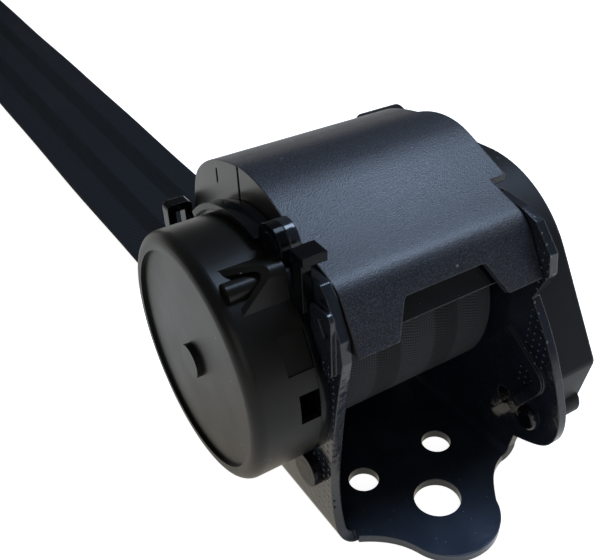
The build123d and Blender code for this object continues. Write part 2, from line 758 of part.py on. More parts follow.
# Pin of the sensor cover, with its round head on the inside of the right wall
with BuildPart() as cover_rivet:
    with BuildSketch(side_plane(wall_in - seat_gap)):
        with Locations(cover_pin):
            Circle(cover_pin_radius)
    extrude(amount=sheet + seat_gap + 5.5)
    with BuildSketch(side_plane(wall_in - seat_gap)):
        with Locations(cover_pin):
            Circle(cover_pin_head)
    extrude(amount=-1.4)
    fillet(cover_rivet.faces().sort_by(Axis.X)[0].edges(), 1.1)
save(cover_rivet, "cover_rivet")

# Vehicle sensor: a cup with its ball, and the lever that the ball lifts towards the flywheel
sensor_y = lever_pivot[0] - 8.5
sensor_low = sensor_floor + sensor_wall + free_gap
cup_half = ball_radius + 2.6
sensor_half_x = (flywheel_thick + 3.0) / 2
sensor_x = flywheel_x + flywheel_thick / 2
ball_x = (cover_base + cover_face - sensor_wall) / 2
ball_z = sensor_low + 2.0 + ball_radius
cup_top = ball_z + 1.0

with BuildPart() as sensor_housing:
    with BuildSketch(Plane.XY.offset(sensor_low)):
        with Locations((cover_base + seat_gap, sensor_y)):
            Rectangle(cover_face - sensor_wall - cover_base - 3 * seat_gap, 2 * cup_half, align=(Align.MIN, Align.CENTER))
    extrude(amount=cup_top - sensor_low)
    with BuildSketch(Plane.XY.offset(cup_top)):
        with Locations((ball_x, sensor_y)):
            Circle(ball_radius + 0.6)
    extrude(amount=-(cup_top - sensor_low - 1.6), mode=Mode.SUBTRACT)
    # two ears with the lever's bearings
    for ear_x in (sensor_x - sensor_half_x, sensor_x + sensor_half_x - 1.4):
        with BuildSketch(side_plane(ear_x)):
            with Locations((lever_pivot[0], sensor_low)):
                Rectangle(2 * lever_arm + 1.6, lever_pivot[1] - sensor_low, align=(Align.CENTER, Align.MIN))
            with Locations(lever_pivot):
                Circle(lever_arm + 0.8)
                Circle(lever_pin_radius + running_gap, mode=Mode.SUBTRACT)
        extrude(amount=1.4)
save(sensor_housing, "sensor_housing")

with BuildPart() as sensor_ball:
    with Locations((ball_x, sensor_y, ball_z)):
        Sphere(ball_radius)
save(sensor_ball, "sensor_ball")

lever_tip = turned(round_spool(flywheel_radius - lever_bite, lever_angle), lever_pivot, lever_swing)
lever_end = turned(round_spool(flywheel_radius + 3.3, lever_angle), lever_pivot, lever_swing)
lever_knee = (sensor_y + 1.0, ball_z + ball_radius + free_gap + lever_arm / 2)
lever_half_x = sensor_half_x - 1.4 - seat_gap

with BuildPart() as sensor_lever:
    with BuildSketch(side_plane(sensor_x - lever_half_x)):
        with BuildLine():
            Polyline(lever_pivot, lever_knee, lever_end)
        trace(line_width=lever_arm)
        with BuildLine():
            Line(lever_end, lever_tip)
        trace(line_width=lever_tooth)
        with Locations(lever_knee, lever_end):
            Circle(lever_arm / 2)
        with Locations(lever_pivot):
            Circle(lever_arm)
    extrude(amount=2 * lever_half_x)
    with BuildSketch(side_plane(sensor_x - sensor_half_x)):
        with Locations(lever_pivot):
            Circle(lever_pin_radius)
    extrude(amount=2 * sensor_half_x)
save(sensor_lever, "sensor_lever")

# Webbing: the run from the roll to the guide, then the drawn strap with its sewn loop
run_start = (frame_rear - 2.0, web_level)
run_radius = roll_radius + free_gap + web_thick / 2
run_span = hypot(run_start[0] - spool_y, run_start[1] - spool_z)
run_angle = atan2(spool_z - run_start[1], spool_y - run_start[0]) + asin(run_radius / run_span)
run_length = sqrt(run_span**2 - run_radius**2)
run_end = (run_start[0] + run_length * cos(run_angle), run_start[1] + run_length * sin(run_angle))
run_half = web_thick / 2 / abs(cos(run_angle))

with BuildPart() as webbing_run:
    with BuildSketch(side_plane(-web_width / 2)):
        Polygon(
            (run_start[0], run_start[1] - run_half), (run_start[0], run_start[1] + run_half),
            (run_end[0], run_end[1] + run_half), (run_end[0], run_end[1] - run_half), align=None,
        )
    extrude(amount=web_width)
save(webbing_run, "webbing_run")

loop_inner = plate_thick / 2 + free_gap
loop_outer = loop_inner + web_thick
loop_span = bar_width - plate_thick + 1.0

with BuildPart() as webbing_strap:
    with BuildSketch(side_plane(-web_width / 2)):
        with Locations((run_start[0], web_level)):
            Rectangle(strap_end - sewn_length - run_start[0], web_thick, align=(Align.MIN, Align.CENTER))
        with Locations((strap_end - sewn_length - 1, web_level)):
            Rectangle(sewn_length + 1 - bar_width / 2 - 0.5, 2 * web_thick, align=(Align.MIN, Align.CENTER))
        with Locations((strap_end, web_level)):
            SlotCenterToCenter(loop_span, 2 * loop_outer)
            SlotCenterToCenter(loop_span, 2 * loop_inner, mode=Mode.SUBTRACT)
    extrude(amount=web_width)
save(webbing_strap, "webbing_strap")

# End anchor plate: a bar in the webbing's loop, and a cranked eye that lies on the floor
eye_y = strap_end + plate_reach
plate_low = web_level - plate_thick / 2
plate_slot = web_width + 2 * slot_margin

with BuildPart() as end_anchor_plate:
    with BuildSketch(side_plane(-plate_width / 2)) as cranked:
        with BuildLine():
            FilletPolyline(
                (strap_end - bar_width / 2, web_level), (strap_end + plate_drop, web_level),
                (strap_end + plate_drop + 8, plate_thick / 2), (eye_y + 14, plate_thick / 2), radius=3,
            )
        trace(line_width=plate_thick)
    extrude(amount=plate_width)
    with BuildSketch(Plane.XY) as plate_outline:
        with BuildLine():
            FilletPolyline(
                (-plate_width / 2, strap_end - bar_width / 2 - 2), (plate_width / 2, strap_end - bar_width / 2 - 2),
                (plate_width / 2, strap_end + plate_drop + 4), (14, eye_y + 6), (10, eye_y + 14), (-10, eye_y + 14),
                (-14, eye_y + 6), (-plate_width / 2, strap_end + plate_drop + 4), close=True, radius=3,
            )
        make_face()
        with Locations((0, eye_y)):
            Circle(anchor_hole / 2, mode=Mode.SUBTRACT)
        with Locations((0, strap_end + bar_width / 2)):
            Rectangle(plate_slot, plate_drop - bar_width / 2 - 1.5, align=(Align.CENTER, Align.MIN), mode=Mode.SUBTRACT)
    extrude(amount=20, mode=Mode.INTERSECT)
save(end_anchor_plate, "end_anchor_plate")

# Latch tongue: a steel blade moulded into a plastic grip that slides along the strap
grip_slot_half = web_width / 2 + slot_margin
blade_foot = web_level + 9.0

with BuildPart() as tongue_blade:
    with BuildSketch(Plane.XZ.offset(-(tongue_place + blade_thick / 2))) as blade:
        with Locations((0, blade_foot)):
            Rectangle(blade_width, blade_top - blade_foot, align=(Align.CENTER, Align.MIN))
        fillet(blade.vertices().group_by(Axis.Y)[-1], 5)
        with Locations((0, blade_foot + 6)):
            Rectangle(blade_width + 22, 12)
        with Locations((0, blade_top - 10)):
            RectangleRounded(window_width, window_height, 1.5, align=(Align.CENTER, Align.MAX), mode=Mode.SUBTRACT)
    extrude(amount=blade_thick)
save(tongue_blade, "tongue_blade")

with BuildPart() as tongue_grip:
    with BuildSketch(Plane.XZ.offset(-(tongue_place + grip_thick / 2))) as grip:
        Rectangle(grip_width, grip_height, align=(Align.CENTER, Align.MIN))
        fillet(grip.vertices().group_by(Axis.Y)[0], 3)
        fillet(grip.vertices().group_by(Axis.Y)[-1], 12)
    extrude(amount=grip_thick)
    fillet(tongue_grip.edges().filter_by(GeomType.LINE, reverse=True), 0.8)
    with BuildSketch(Plane.XZ.offset(-(tongue_place + grip_thick / 2))):
        with Locations((0, web_level)):
            RectangleRounded(2 * grip_slot_half, web_thick + 2.4, 1.2)
    extrude(amount=grip_thick, mode=Mode.SUBTRACT)
    # the blade's pocket
    with BuildSketch(Plane.XZ.offset(-(tongue_place + blade_thick / 2 + seat_gap / 2))):
        with Locations((0, blade_foot - seat_gap)):
            Rectangle(blade_width + 2 * seat_gap, grip_height, align=(Align.CENTER, Align.MIN))
        with Locations((0, blade_foot + 6)):
            Rectangle(blade_width + 22 + 2 * seat_gap, 12 + 2 * seat_gap)
    extrude(amount=blade_thick + seat_gap, mode=Mode.SUBTRACT)
save(tongue_grip, "tongue_grip")
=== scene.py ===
import math

import bmesh
import bpy
import numpy as np
from mathutils import Matrix, Vector


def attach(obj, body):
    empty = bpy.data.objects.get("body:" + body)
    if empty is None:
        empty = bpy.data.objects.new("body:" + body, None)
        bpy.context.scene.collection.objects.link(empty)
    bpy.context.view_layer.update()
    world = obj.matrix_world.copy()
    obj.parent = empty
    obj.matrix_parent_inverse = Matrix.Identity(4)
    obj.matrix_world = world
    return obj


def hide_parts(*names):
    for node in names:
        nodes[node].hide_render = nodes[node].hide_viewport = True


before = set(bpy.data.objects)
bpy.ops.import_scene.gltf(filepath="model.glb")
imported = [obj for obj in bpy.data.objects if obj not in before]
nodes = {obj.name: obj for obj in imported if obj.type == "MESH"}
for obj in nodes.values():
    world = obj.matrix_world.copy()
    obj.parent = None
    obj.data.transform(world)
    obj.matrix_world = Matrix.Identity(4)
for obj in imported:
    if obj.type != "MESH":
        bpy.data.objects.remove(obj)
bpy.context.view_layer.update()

# All lengths are in metres. These are sizes of the CAD part.
WEB_WIDTH = 0.047
WEB_THICK = 0.0012
WEB_LEVEL = 0.0066                  # height of the drawn belt's middle over the fixing face
STRAP_START = 0.076                 # Y of the guide's mouth
SEWN_START = 0.557                  # Y from which the belt lies doubled
STRAP_END = 0.612                   # Y of the end plate's bar
ROLL_RADIUS = 0.026
CORE_RADIUS = 0.01005
SPOOL_Y, SPOOL_Z = 0.038, 0.047     # the spool's axis


# Meshes

def mesh_piece(name, points, faces, uv=None):
    """A smooth mesh object at the origin from an array of points and a list of faces. uv has one
    pair per point and is stored per corner, so a seam whose two sides meet keeps both values when
    the doubled points are merged. The merged shell is closed and its faces turned outwards."""
    mesh = bpy.data.meshes.new(name)
    mesh.from_pydata(points.tolist(), [], faces)
    if uv is not None:
        layer = mesh.uv_layers.new(name="cloth")
        corners = np.empty(len(mesh.loops), dtype=np.int32)
        mesh.loops.foreach_get("vertex_index", corners)
        layer.data.foreach_set("uv", uv[corners].astype(np.float32).ravel())
    shell = bmesh.new()
    shell.from_mesh(mesh)
    bmesh.ops.remove_doubles(shell, verts=shell.verts, dist=1e-6)
    bmesh.ops.recalc_face_normals(shell, faces=shell.faces)
    shell.to_mesh(mesh)
    shell.free()
    mesh.polygons.foreach_set("use_smooth", np.ones(len(mesh.polygons), dtype=bool))
    mesh.update()
    piece = bpy.data.objects.new(name, mesh)
    bpy.context.scene.collection.objects.link(piece)
    return piece


def grid_faces(rows, columns, wrap_rows=False, wrap_columns=False):
    """Quads between neighbours of a grid that is stored row after row."""
    r = np.arange(rows if wrap_rows else rows - 1)
    c = np.arange(columns if wrap_columns else columns - 1)
    r, c = np.meshgrid(r, c, indexing="ij")
    r2, c2 = (r + 1) % rows, (c + 1) % columns
    corners = [r * columns + c, r * columns + c2, r2 * columns + c2, r2 * columns + c]
    return np.stack(corners, axis=-1).reshape(-1, 4).tolist()


def run_along(line):
    """The distance along a line of points from its start to each point."""
    return np.concatenate([[0], np.cumsum(np.linalg.norm(np.diff(line, axis=0), axis=1))])


def belt_section():
    """The belt's closed section, anticlockwise: across from -1 to 1, and level in half
    thicknesses. Its two faces lie at level = 1 + 0.10 exp(-((1 - |across|) / 0.035)^2), flat
    with a thicker selvedge, and from |across| = 0.975 its edges are half ellipses."""
    face_end, face_points, edge_points = 0.975, 22, 5
    edge_reach, edge_level = 0.025, 1.08
    flat = np.linspace(-face_end, face_end, face_points)
    swell = 1 + 0.10 * np.exp(-((1 - np.abs(flat)) / 0.035) ** 2)
    turn = np.radians(np.linspace(-90, 90, edge_points + 2)[1:-1])
    right = np.stack([face_end + edge_reach * np.cos(turn), edge_level * np.sin(turn)], axis=1)
    bottom = np.stack([flat, -swell], axis=1)
    top = np.stack([flat[::-1], swell[::-1]], axis=1)
    return np.concatenate([bottom, right, top, -right])


def belt_along(name, line, sway=0.0):
    """A belt whose section is carried square to a line of points in the YZ plane. At the distance
    s along it, its edges wander by sway (sin(31 s + 0.6) + 0.6 sin(67 s + 2.1)), and it bows by
    0.8 sway sin(23 s + 1.1) (1 - across^2)."""
    path = line[:, 1:]
    ahead = np.gradient(path, axis=0)
    ahead /= np.linalg.norm(ahead, axis=1)[:, None]
    up = np.stack([-ahead[:, 1], ahead[:, 0]], axis=1)
    run = run_along(path)
    section = belt_section()
    wander = sway * (np.sin(run * 31.0 + 0.6) + 0.6 * np.sin(run * 67.0 + 2.1))
    bow = sway * 0.8 * np.sin(run * 23.0 + 1.1)
    across = section[None, :, 0] * WEB_WIDTH / 2 + wander[:, None]
    level = section[None, :, 1] * WEB_THICK / 2 + bow[:, None] * (1 - section[None, :, 0] ** 2)
    points = np.empty((len(path), len(section), 3))
    points[..., 0] = across
    points[..., 1] = path[:, None, 0] + up[:, None, 0] * level
    points[..., 2] = path[:, None, 1] + up[:, None, 1] * level
    uv = np.stack([across, np.broadcast_to(run[:, None], across.shape)], axis=-1)
    faces = grid_faces(len(path), len(section), wrap_columns=True)
    last = (len(path) - 1) * len(section)
    faces.append(list(range(len(section))))
    faces.append([last + i for i in range(len(section))])
    return mesh_piece(name, points.reshape(-1, 3), faces, uv.reshape(-1, 2))


def curve_points(route, resolution):
    """The line of a NURBS spline with the route's points as its control points."""
    curve = bpy.data.curves.new("belt_line", "CURVE")
    curve.dimensions = "3D"
    curve.resolution_u = resolution
    spline = curve.splines.new("NURBS")
    spline.points.add(len(route) - 1)
    for point, place in zip(spline.points, route):
        point.co = (*place, 1)
    spline.order_u = 3
    spline.use_endpoint_u = True
    holder = bpy.data.objects.new("belt_line", curve)
    line = bpy.data.meshes.new_from_object(holder)
    places = np.empty(len(line.vertices) * 3)
    line.vertices.foreach_get("co", places)
    bpy.data.objects.remove(holder)
    bpy.data.meshes.remove(line)
    return places.reshape(-1, 3)


# Shader helpers

def new_group(name, inputs, outputs):
    """An empty shader node group. Each input is (name, kind, value) and each output (name, kind),
    with a kind as in NodeSocketKIND."""
    group = bpy.data.node_groups.new(name, "ShaderNodeTree")
    for title, kind, value in inputs:
        socket = group.interface.new_socket(title, in_out="INPUT", socket_type="NodeSocket" + kind)
        if value is not None:
            socket.default_value = value
    for title, kind in outputs:
        group.interface.new_socket(title, in_out="OUTPUT", socket_type="NodeSocket" + kind)
    return group, group.nodes.new("NodeGroupInput"), group.nodes.new("NodeGroupOutput")


def math_node(tree, operation, first, second=None, third=None, clamp=False):
    """A Math node; first, second and third are sockets or numbers."""
    node = tree.nodes.new("ShaderNodeMath")
    node.operation = operation
    node.use_clamp = clamp
    for place, value in enumerate((first, second, third)):
        if value is None:
            continue
        if isinstance(value, (int, float)):
            node.inputs[place].default_value = value
        else:
            tree.links.new(value, node.inputs[place])
    return node.outputs[0]


def length_node(tree, first, second):
    """The length of a vector with the two values as its parts."""
    squares = [
        math_node(tree, "POWER", math_node(tree, "ABSOLUTE", value), 2.0)
        for value in (first, second)
    ]
    return math_node(tree, "SQRT", math_node(tree, "ADD", *squares))


def wave_node(tree, value, wavelength):
    """A sine of a length in metres, from -1 to 1."""
    return math_node(tree, "SINE", math_node(tree, "MULTIPLY", value, 2 * math.pi / wavelength))


def step_between(tree, value, low, high):
    """A smooth step from 0 at low to 1 at high."""
    node = tree.nodes.new("ShaderNodeMapRange")
    node.interpolation_type = "SMOOTHSTEP"
    tree.links.new(value, node.inputs["Value"])
    node.inputs["From Min"].default_value = low
    node.inputs["From Max"].default_value = high
    return node.outputs["Result"]


def noise_node(tree, place, scale, detail, roughness):
    """A Noise texture; place and scale are sockets."""
    node = tree.nodes.new("ShaderNodeTexNoise")
    tree.links.new(place, node.inputs["Vector"])
    tree.links.new(scale, node.inputs["Scale"])
    node.inputs["Detail"].default_value = detail
    node.inputs["Roughness"].default_value = roughness
    return node.outputs["Fac"]


# Patterns that several materials use

def make_fine_grain():
    """Moulded grain: the pebbles of a Voronoi pattern on softer noise, and flecks that catch the
    light."""
    group, given, result = new_group(
        "fine_grain",
        [("Place", "Vector", None), ("Scale", "Float", 1500.0)],
        [("Height", "Float"), ("Fleck", "Float")],
    )
    place, scale = given.outputs["Place"], given.outputs["Scale"]
    pebbles = group.nodes.new("ShaderNodeTexVoronoi")
    pebbles.feature = "SMOOTH_F1"
    pebbles.inputs["Smoothness"].default_value = 0.6
    group.links.new(place, pebbles.inputs["Vector"])
    group.links.new(scale, pebbles.inputs["Scale"])
    soft = noise_node(group, place, scale, detail=2.0, roughness=0.6)
    sharp = noise_node(group, place, scale, detail=1.0, roughness=0.5)
    raised = math_node(group, "MULTIPLY", pebbles.outputs["Distance"], 0.7)
    height = math_node(group, "MULTIPLY_ADD", soft, 0.5, raised)
    group.links.new(height, result.inputs["Height"])
    group.links.new(step_between(group, sharp, 0.42, 0.74), result.inputs["Fleck"])
    return group


def make_soft_patches():
    """What handling leaves on a surface: slow patches from 0 to 1, a ripple nine times finer, and
    specks of dust, one to a cell of a pattern six times finer."""
    group, given, result = new_group(
        "soft_patches",
        [("Place", "Vector", None), ("Scale", "Float", 40.0)],
        [("Patch", "Float"), ("Ripple", "Float"), ("Dust", "Float")],
    )
    place, scale = given.outputs["Place"], given.outputs["Scale"]
    slow = noise_node(group, place, scale, detail=4.0, roughness=0.55)
    ripple_scale = math_node(group, "MULTIPLY", scale, 9.0)
    ripple = noise_node(group, place, ripple_scale, detail=2.0, roughness=0.5)
    specks = group.nodes.new("ShaderNodeTexVoronoi")
    group.links.new(place, specks.inputs["Vector"])
    group.links.new(math_node(group, "MULTIPLY", scale, 6.0), specks.inputs["Scale"])
    clean = step_between(group, specks.outputs["Distance"], 0.03, 0.06)
    group.links.new(step_between(group, slow, 0.3, 0.7), result.inputs["Patch"])
    group.links.new(ripple, result.inputs["Ripple"])
    group.links.new(math_node(group, "SUBTRACT", 1.0, clean), result.inputs["Dust"])
    return group


def make_belt_weave():
    """Belt cloth: lengthwise panels whose diagonal ribs lean in turn left and right, crossed by
    fine warp lines, with two darker stripes that run the whole length. Place is metres across and
    along the belt."""
    rib_lean, warp_spacing = 0.35, 0.00072
    stripe_inner, stripe_outer = (0.0046, 0.0058), (0.0116, 0.0130)
    group, given, result = new_group(
        "belt_weave",
        [("Place", "Vector", None), ("Panel", "Float", 0.0047), ("Rib", "Float", 0.0011)],
        [("Height", "Float"), ("Shade", "Float"), ("Stripe", "Float")],
    )
    parts = group.nodes.new("ShaderNodeSeparateXYZ")
    group.links.new(given.outputs["Place"], parts.inputs[0])
    across, along = parts.outputs["X"], parts.outputs["Y"]
    panel_place = math_node(group, "DIVIDE", across, given.outputs["Panel"])
    zigzag = math_node(group, "PINGPONG", panel_place, 1.0)
    zigzag = math_node(group, "MULTIPLY", zigzag, given.outputs["Panel"])
    slant = math_node(group, "ADD", along, math_node(group, "MULTIPLY", zigzag, rib_lean))
    rib_turns = math_node(group, "MULTIPLY", slant, 2 * math.pi)
    rib_turns = math_node(group, "DIVIDE", rib_turns, given.outputs["Rib"])
    ribs = math_node(group, "MULTIPLY_ADD", math_node(group, "SINE", rib_turns), 0.5, 0.5)
    warp = math_node(group, "MULTIPLY_ADD", wave_node(group, across, warp_spacing), 0.5, 0.5)
    yarns = math_node(group, "MULTIPLY", ribs, warp)
    yarn_height = math_node(group, "MULTIPLY", yarns, 0.4)
    height = math_node(group, "MULTIPLY_ADD", ribs, 0.6, yarn_height)
    rib_shade = math_node(group, "MULTIPLY", ribs, 0.35)
    shade = math_node(group, "MULTIPLY_ADD", yarns, 0.65, rib_shade)
    reach = math_node(group, "ABSOLUTE", across)
    stripe = math_node(
        group, "SUBTRACT",
        step_between(group, reach, *stripe_inner), step_between(group, reach, *stripe_outer),
    )
    group.links.new(height, result.inputs["Height"])
    group.links.new(shade, result.inputs["Shade"])
    group.links.new(stripe, result.inputs["Stripe"])
    return group


def make_dot_rows():
    """Rows of round dimples: 1 in the middle of a dimple and 0 between them. Place is (column,
    row) in metres."""
    group, given, result = new_group(
        "dot_rows",
        [("Place", "Vector", None), ("Pitch", "Float", 0.0024), ("Radius", "Float", 0.0006)],
        [("Dot", "Float")],
    )
    parts = group.nodes.new("ShaderNodeSeparateXYZ")
    group.links.new(given.outputs["Place"], parts.inputs[0])
    offsets = []
    for axis in ("X", "Y"):
        turn = math_node(group, "DIVIDE", parts.outputs[axis], given.outputs["Pitch"])
        middle = math_node(group, "SUBTRACT", math_node(group, "FRACT", turn), 0.5)
        offsets.append(math_node(group, "MULTIPLY", middle, given.outputs["Pitch"]))
    share = math_node(group, "DIVIDE", length_node(group, *offsets), given.outputs["Radius"])
    dot = math_node(group, "SUBTRACT", 1.0, step_between(group, share, 0.35, 1.0))
    group.links.new(dot, result.inputs["Dot"])
    return group


GRAIN = make_fine_grain()
PATCHES = make_soft_patches()
WEAVE = make_belt_weave()
DOTS = make_dot_rows()

# A Mix node's sockets for colours, by their index: A, B and Result
MIX_FIRST, MIX_SECOND, MIX_RESULT = 6, 7, 2


class Finish:
    """A material being built: its tree, its Principled shader and the place that its patterns
    read, which is the object's own or, for cloth, the UV map. The colour and roughness given are
    what a viewer shows that reads no patterns."""

    def __init__(self, name, colour, roughness, metallic=0.0, specular=0.5, cloth=False):
        self.material = bpy.data.materials.new(name)
        self.material.use_nodes = True
        self.tree = self.material.node_tree
        self.shader = self.tree.nodes["Principled BSDF"]
        self.shader.inputs["Base Color"].default_value = (*colour, 1)
        self.shader.inputs["Roughness"].default_value = roughness
        self.shader.inputs["Metallic"].default_value = metallic
        self.shader.inputs["Specular IOR Level"].default_value = specular
        coordinates = self.tree.nodes.new("ShaderNodeTexCoord")
        self.object_place = coordinates.outputs["Object"]
        self.place = self.object_place
        if cloth:
            uv = self.tree.nodes.new("ShaderNodeUVMap")
            uv.uv_map = "cloth"
            self.place = uv.outputs["UV"]

    def group(self, group, place=None, **values):
        """Places a node group at the material's place or another, and sets its other inputs."""
        node = self.tree.nodes.new("ShaderNodeGroup")
        node.node_tree = group
        self.tree.links.new(self.place if place is None else place, node.inputs["Place"])
        for title, value in values.items():
            node.inputs[title].default_value = value
        return node

    def parts(self, place):
        """The X, Y and Z sockets of a place."""
        node = self.tree.nodes.new("ShaderNodeSeparateXYZ")
        self.tree.links.new(place, node.inputs[0])
        return node.outputs["X"], node.outputs["Y"], node.outputs["Z"]

    def pair(self, first, second):
        """A vector with the two values as its X and Y."""
        node = self.tree.nodes.new("ShaderNodeCombineXYZ")
        self.tree.links.new(first, node.inputs["X"])
        self.tree.links.new(second, node.inputs["Y"])
        return node.outputs[0]

    def math(self, *given, **options):
        return math_node(self.tree, *given, **options)

    def step(self, value, low, high):
        return step_between(self.tree, value, low, high)

    def fall(self, value, low, high):
        """A smooth step from 1 at low to 0 at high."""
        return self.math("SUBTRACT", 1.0, self.step(value, low, high))

    def band(self, value, low, high, soft):
        """1 where value lies between low and high, with soft limits."""
        rise = self.step(value, low - soft, low + soft)
        fall = self.step(value, high - soft, high + soft)
        return self.math("SUBTRACT", rise, fall, clamp=True)

    def mix_colour(self, mask, first, second, share=None):
        """first where the mask is 0 and second where it is 1, or only that share of second."""
        if share is not None:
            mask = self.math("MULTIPLY", mask, share)
        node = self.tree.nodes.new("ShaderNodeMix")
        node.data_type = "RGBA"
        self.tree.links.new(mask, node.inputs["Factor"])
        for place, value in ((MIX_FIRST, first), (MIX_SECOND, second)):
            if isinstance(value, tuple):
                node.inputs[place].default_value = (*value, 1)
            else:
                self.tree.links.new(value, node.inputs[place])
        return node.outputs[MIX_RESULT]

    def set_colour(self, output):
        self.tree.links.new(output, self.shader.inputs["Base Color"])

    def set_roughness(self, mask, low, high):
        value = self.math("MULTIPLY_ADD", mask, high - low, low)
        self.tree.links.new(value, self.shader.inputs["Roughness"])

    def round_edges(self, radius):
        """Softens sharp edges in the shading; gives a mask that is 1 on those edges. Called
        before any bump."""
        bevel = self.tree.nodes.new("ShaderNodeBevel")
        bevel.samples = 4
        bevel.inputs["Radius"].default_value = radius
        self.tree.links.new(bevel.outputs["Normal"], self.shader.inputs["Normal"])
        flat = self.tree.nodes.new("ShaderNodeNewGeometry")
        compare = self.tree.nodes.new("ShaderNodeVectorMath")
        compare.operation = "DOT_PRODUCT"
        self.tree.links.new(flat.outputs["Normal"], compare.inputs[0])
        self.tree.links.new(bevel.outputs["Normal"], compare.inputs[1])
        return self.step(self.math("SUBTRACT", 1.0, compare.outputs["Value"]), 0.01, 0.16)

    def bump(self, height, distance, strength):
        """Adds a bump layer on top of those before it."""
        node = self.tree.nodes.new("ShaderNodeBump")
        node.inputs["Distance"].default_value = distance
        node.inputs["Strength"].default_value = strength
        self.tree.links.new(height, node.inputs["Height"])
        normal = self.shader.inputs["Normal"]
        if normal.is_linked:
            self.tree.links.new(normal.links[0].from_socket, node.inputs["Normal"])
        self.tree.links.new(node.outputs["Normal"], normal)


def scaled(colour, factor):
    """The colour times one factor, or times one for each channel; no channel passes 1."""
    factors = factor if isinstance(factor, tuple) else (factor, factor, factor)
    return tuple(min(1.0, channel * share) for channel, share in zip(colour, factors))


# Materials. A pair of colours is what a mask's 0 and 1 show.

def grained_plastic():
    """Top cover: fine sparkling grain, but smooth and glossier on its left end wall."""
    grain_colours = (0.010, 0.012, 0.017), (0.047, 0.056, 0.079)
    wall, dust, worn = (0.016, 0.0155, 0.015), (0.16, 0.17, 0.19), (0.060, 0.066, 0.080)
    finish = Finish("cover_grain", (0.026, 0.030, 0.038), 0.5)
    edge = finish.round_edges(0.0005)
    grain = finish.group(GRAIN, Scale=2900.0)
    patches = finish.group(PATCHES, Scale=22.0)
    x = finish.parts(finish.object_place)[0]
    off_wall = finish.step(x, -0.0261, -0.02595)    # the wall's outside is at -0.0262
    base = finish.mix_colour(grain.outputs["Fleck"], *grain_colours)
    base = finish.mix_colour(patches.outputs["Dust"], base, dust)
    base = finish.mix_colour(off_wall, wall, base)
    finish.set_colour(finish.mix_colour(edge, base, worn, share=0.35))
    # on the wall 0.28, and elsewhere 0.09 more; patches add up to 0.04
    rough = finish.math("MULTIPLY", off_wall, 0.09)
    rough = finish.math("MULTIPLY_ADD", patches.outputs["Patch"], 0.04, rough)
    finish.set_roughness(rough, 0.28, 1.28)
    finish.bump(finish.math("MULTIPLY", grain.outputs["Height"], off_wall), 0.00010, 0.65)
    return finish.material


def tongue_plastic():
    """Tongue's grip: coarser, duller grain."""
    grain_colours = (0.016, 0.017, 0.019), (0.030, 0.031, 0.034)
    finish = Finish("tongue_grain", (0.020, 0.021, 0.024), 0.5)
    finish.round_edges(0.0006)
    grain = finish.group(GRAIN, Scale=1100.0)
    patches = finish.group(PATCHES, Scale=60.0)
    finish.set_colour(finish.mix_colour(grain.outputs["Fleck"], *grain_colours))
    finish.set_roughness(patches.outputs["Patch"], 0.42, 0.56)
    finish.bump(grain.outputs["Height"], 0.0001, 0.7)
    return finish.material


def smooth_plastic():
    """Housing, guide and wheels: smooth glossy moulding, brighter along its rubbed edges."""
    patch_colours, worn = ((0.0025, 0.003, 0.004), (0.006, 0.007, 0.009)), (0.030, 0.033, 0.040)
    finish = Finish("moulded_satin", (0.006, 0.007, 0.009), 0.3, specular=0.13)
    edge = finish.round_edges(0.0004)
    patches = finish.group(PATCHES, Scale=48.0)
    base = finish.mix_colour(patches.outputs["Patch"], *patch_colours)
    finish.set_colour(finish.mix_colour(edge, base, worn, share=0.3))
    finish.set_roughness(patches.outputs["Patch"], 0.10, 0.20)
    finish.bump(patches.outputs["Ripple"], 0.00008, 0.5)
    return finish.material


def sensor_plastic():
    """Sensor cover: matt, with a very fine etched texture and a little dust."""
    patch_colours = (0.006, 0.007, 0.009), (0.010, 0.0115, 0.0145)
    dust, worn = (0.10, 0.11, 0.13), (0.045, 0.050, 0.060)
    finish = Finish("sensor_matt", (0.014, 0.016, 0.020), 0.5, specular=0.22)
    edge = finish.round_edges(0.0006)
    grain = finish.group(GRAIN, Scale=2600.0)
    patches = finish.group(PATCHES, Scale=26.0)
    base = finish.mix_colour(patches.outputs["Patch"], *patch_colours)
    base = finish.mix_colour(patches.outputs["Dust"], base, dust)
    finish.set_colour(finish.mix_colour(edge, base, worn, share=0.3))
    finish.set_roughness(patches.outputs["Patch"], 0.42, 0.54)
    finish.bump(grain.outputs["Height"], 0.00006, 0.5)
    return finish.material


def disc_plastic():
    """Spring cover: near-black with a satin sheen, faint turned rings on its face and a few
    grains of dust."""
    patch_colours, dust = ((0.006, 0.0058, 0.0052), (0.011, 0.0104, 0.0094)), (0.14, 0.14, 0.14)
    ring_spacing = 0.00085
    finish = Finish("disc_satin", (0.012, 0.0115, 0.0105), 0.36, specular=0.22)
    patches = finish.group(PATCHES, Scale=30.0)
    x, y, z = finish.parts(finish.object_place)
    radius = length_node(
        finish.tree, finish.math("SUBTRACT", z, SPOOL_Z), finish.math("SUBTRACT", y, SPOOL_Y),
    )
    rings = wave_node(finish.tree, radius, ring_spacing)
    face = finish.step(finish.math("MULTIPLY", x, -1.0), 0.0455, 0.0468)
    base = finish.mix_colour(patches.outputs["Patch"], *patch_colours)
    finish.set_colour(finish.mix_colour(patches.outputs["Dust"], base, dust))
    finish.set_roughness(patches.outputs["Patch"], 0.33, 0.42)
    finish.bump(finish.math("MULTIPLY", rings, face), 0.000010, 0.4)
    finish.bump(patches.outputs["Ripple"], 0.00005, 0.35)
    return finish.material


# The dimples on the front edges of the left and right wall: axis, low, high and softness of the
# limits of the boxes that hold them
DIMPLED = [
    [("X", -0.0304, -0.0285, 0.0006), ("Y", 0.0052, 0.0150, 0.0001), ("Z", 0.006, 0.061, 0.0001)],
    [("X", 0.0262, 0.0269, 0.0002), ("Z", 0.030, 0.075, 0.0001), ("Y", -0.0052, 0.0026, 0.0001)],
]


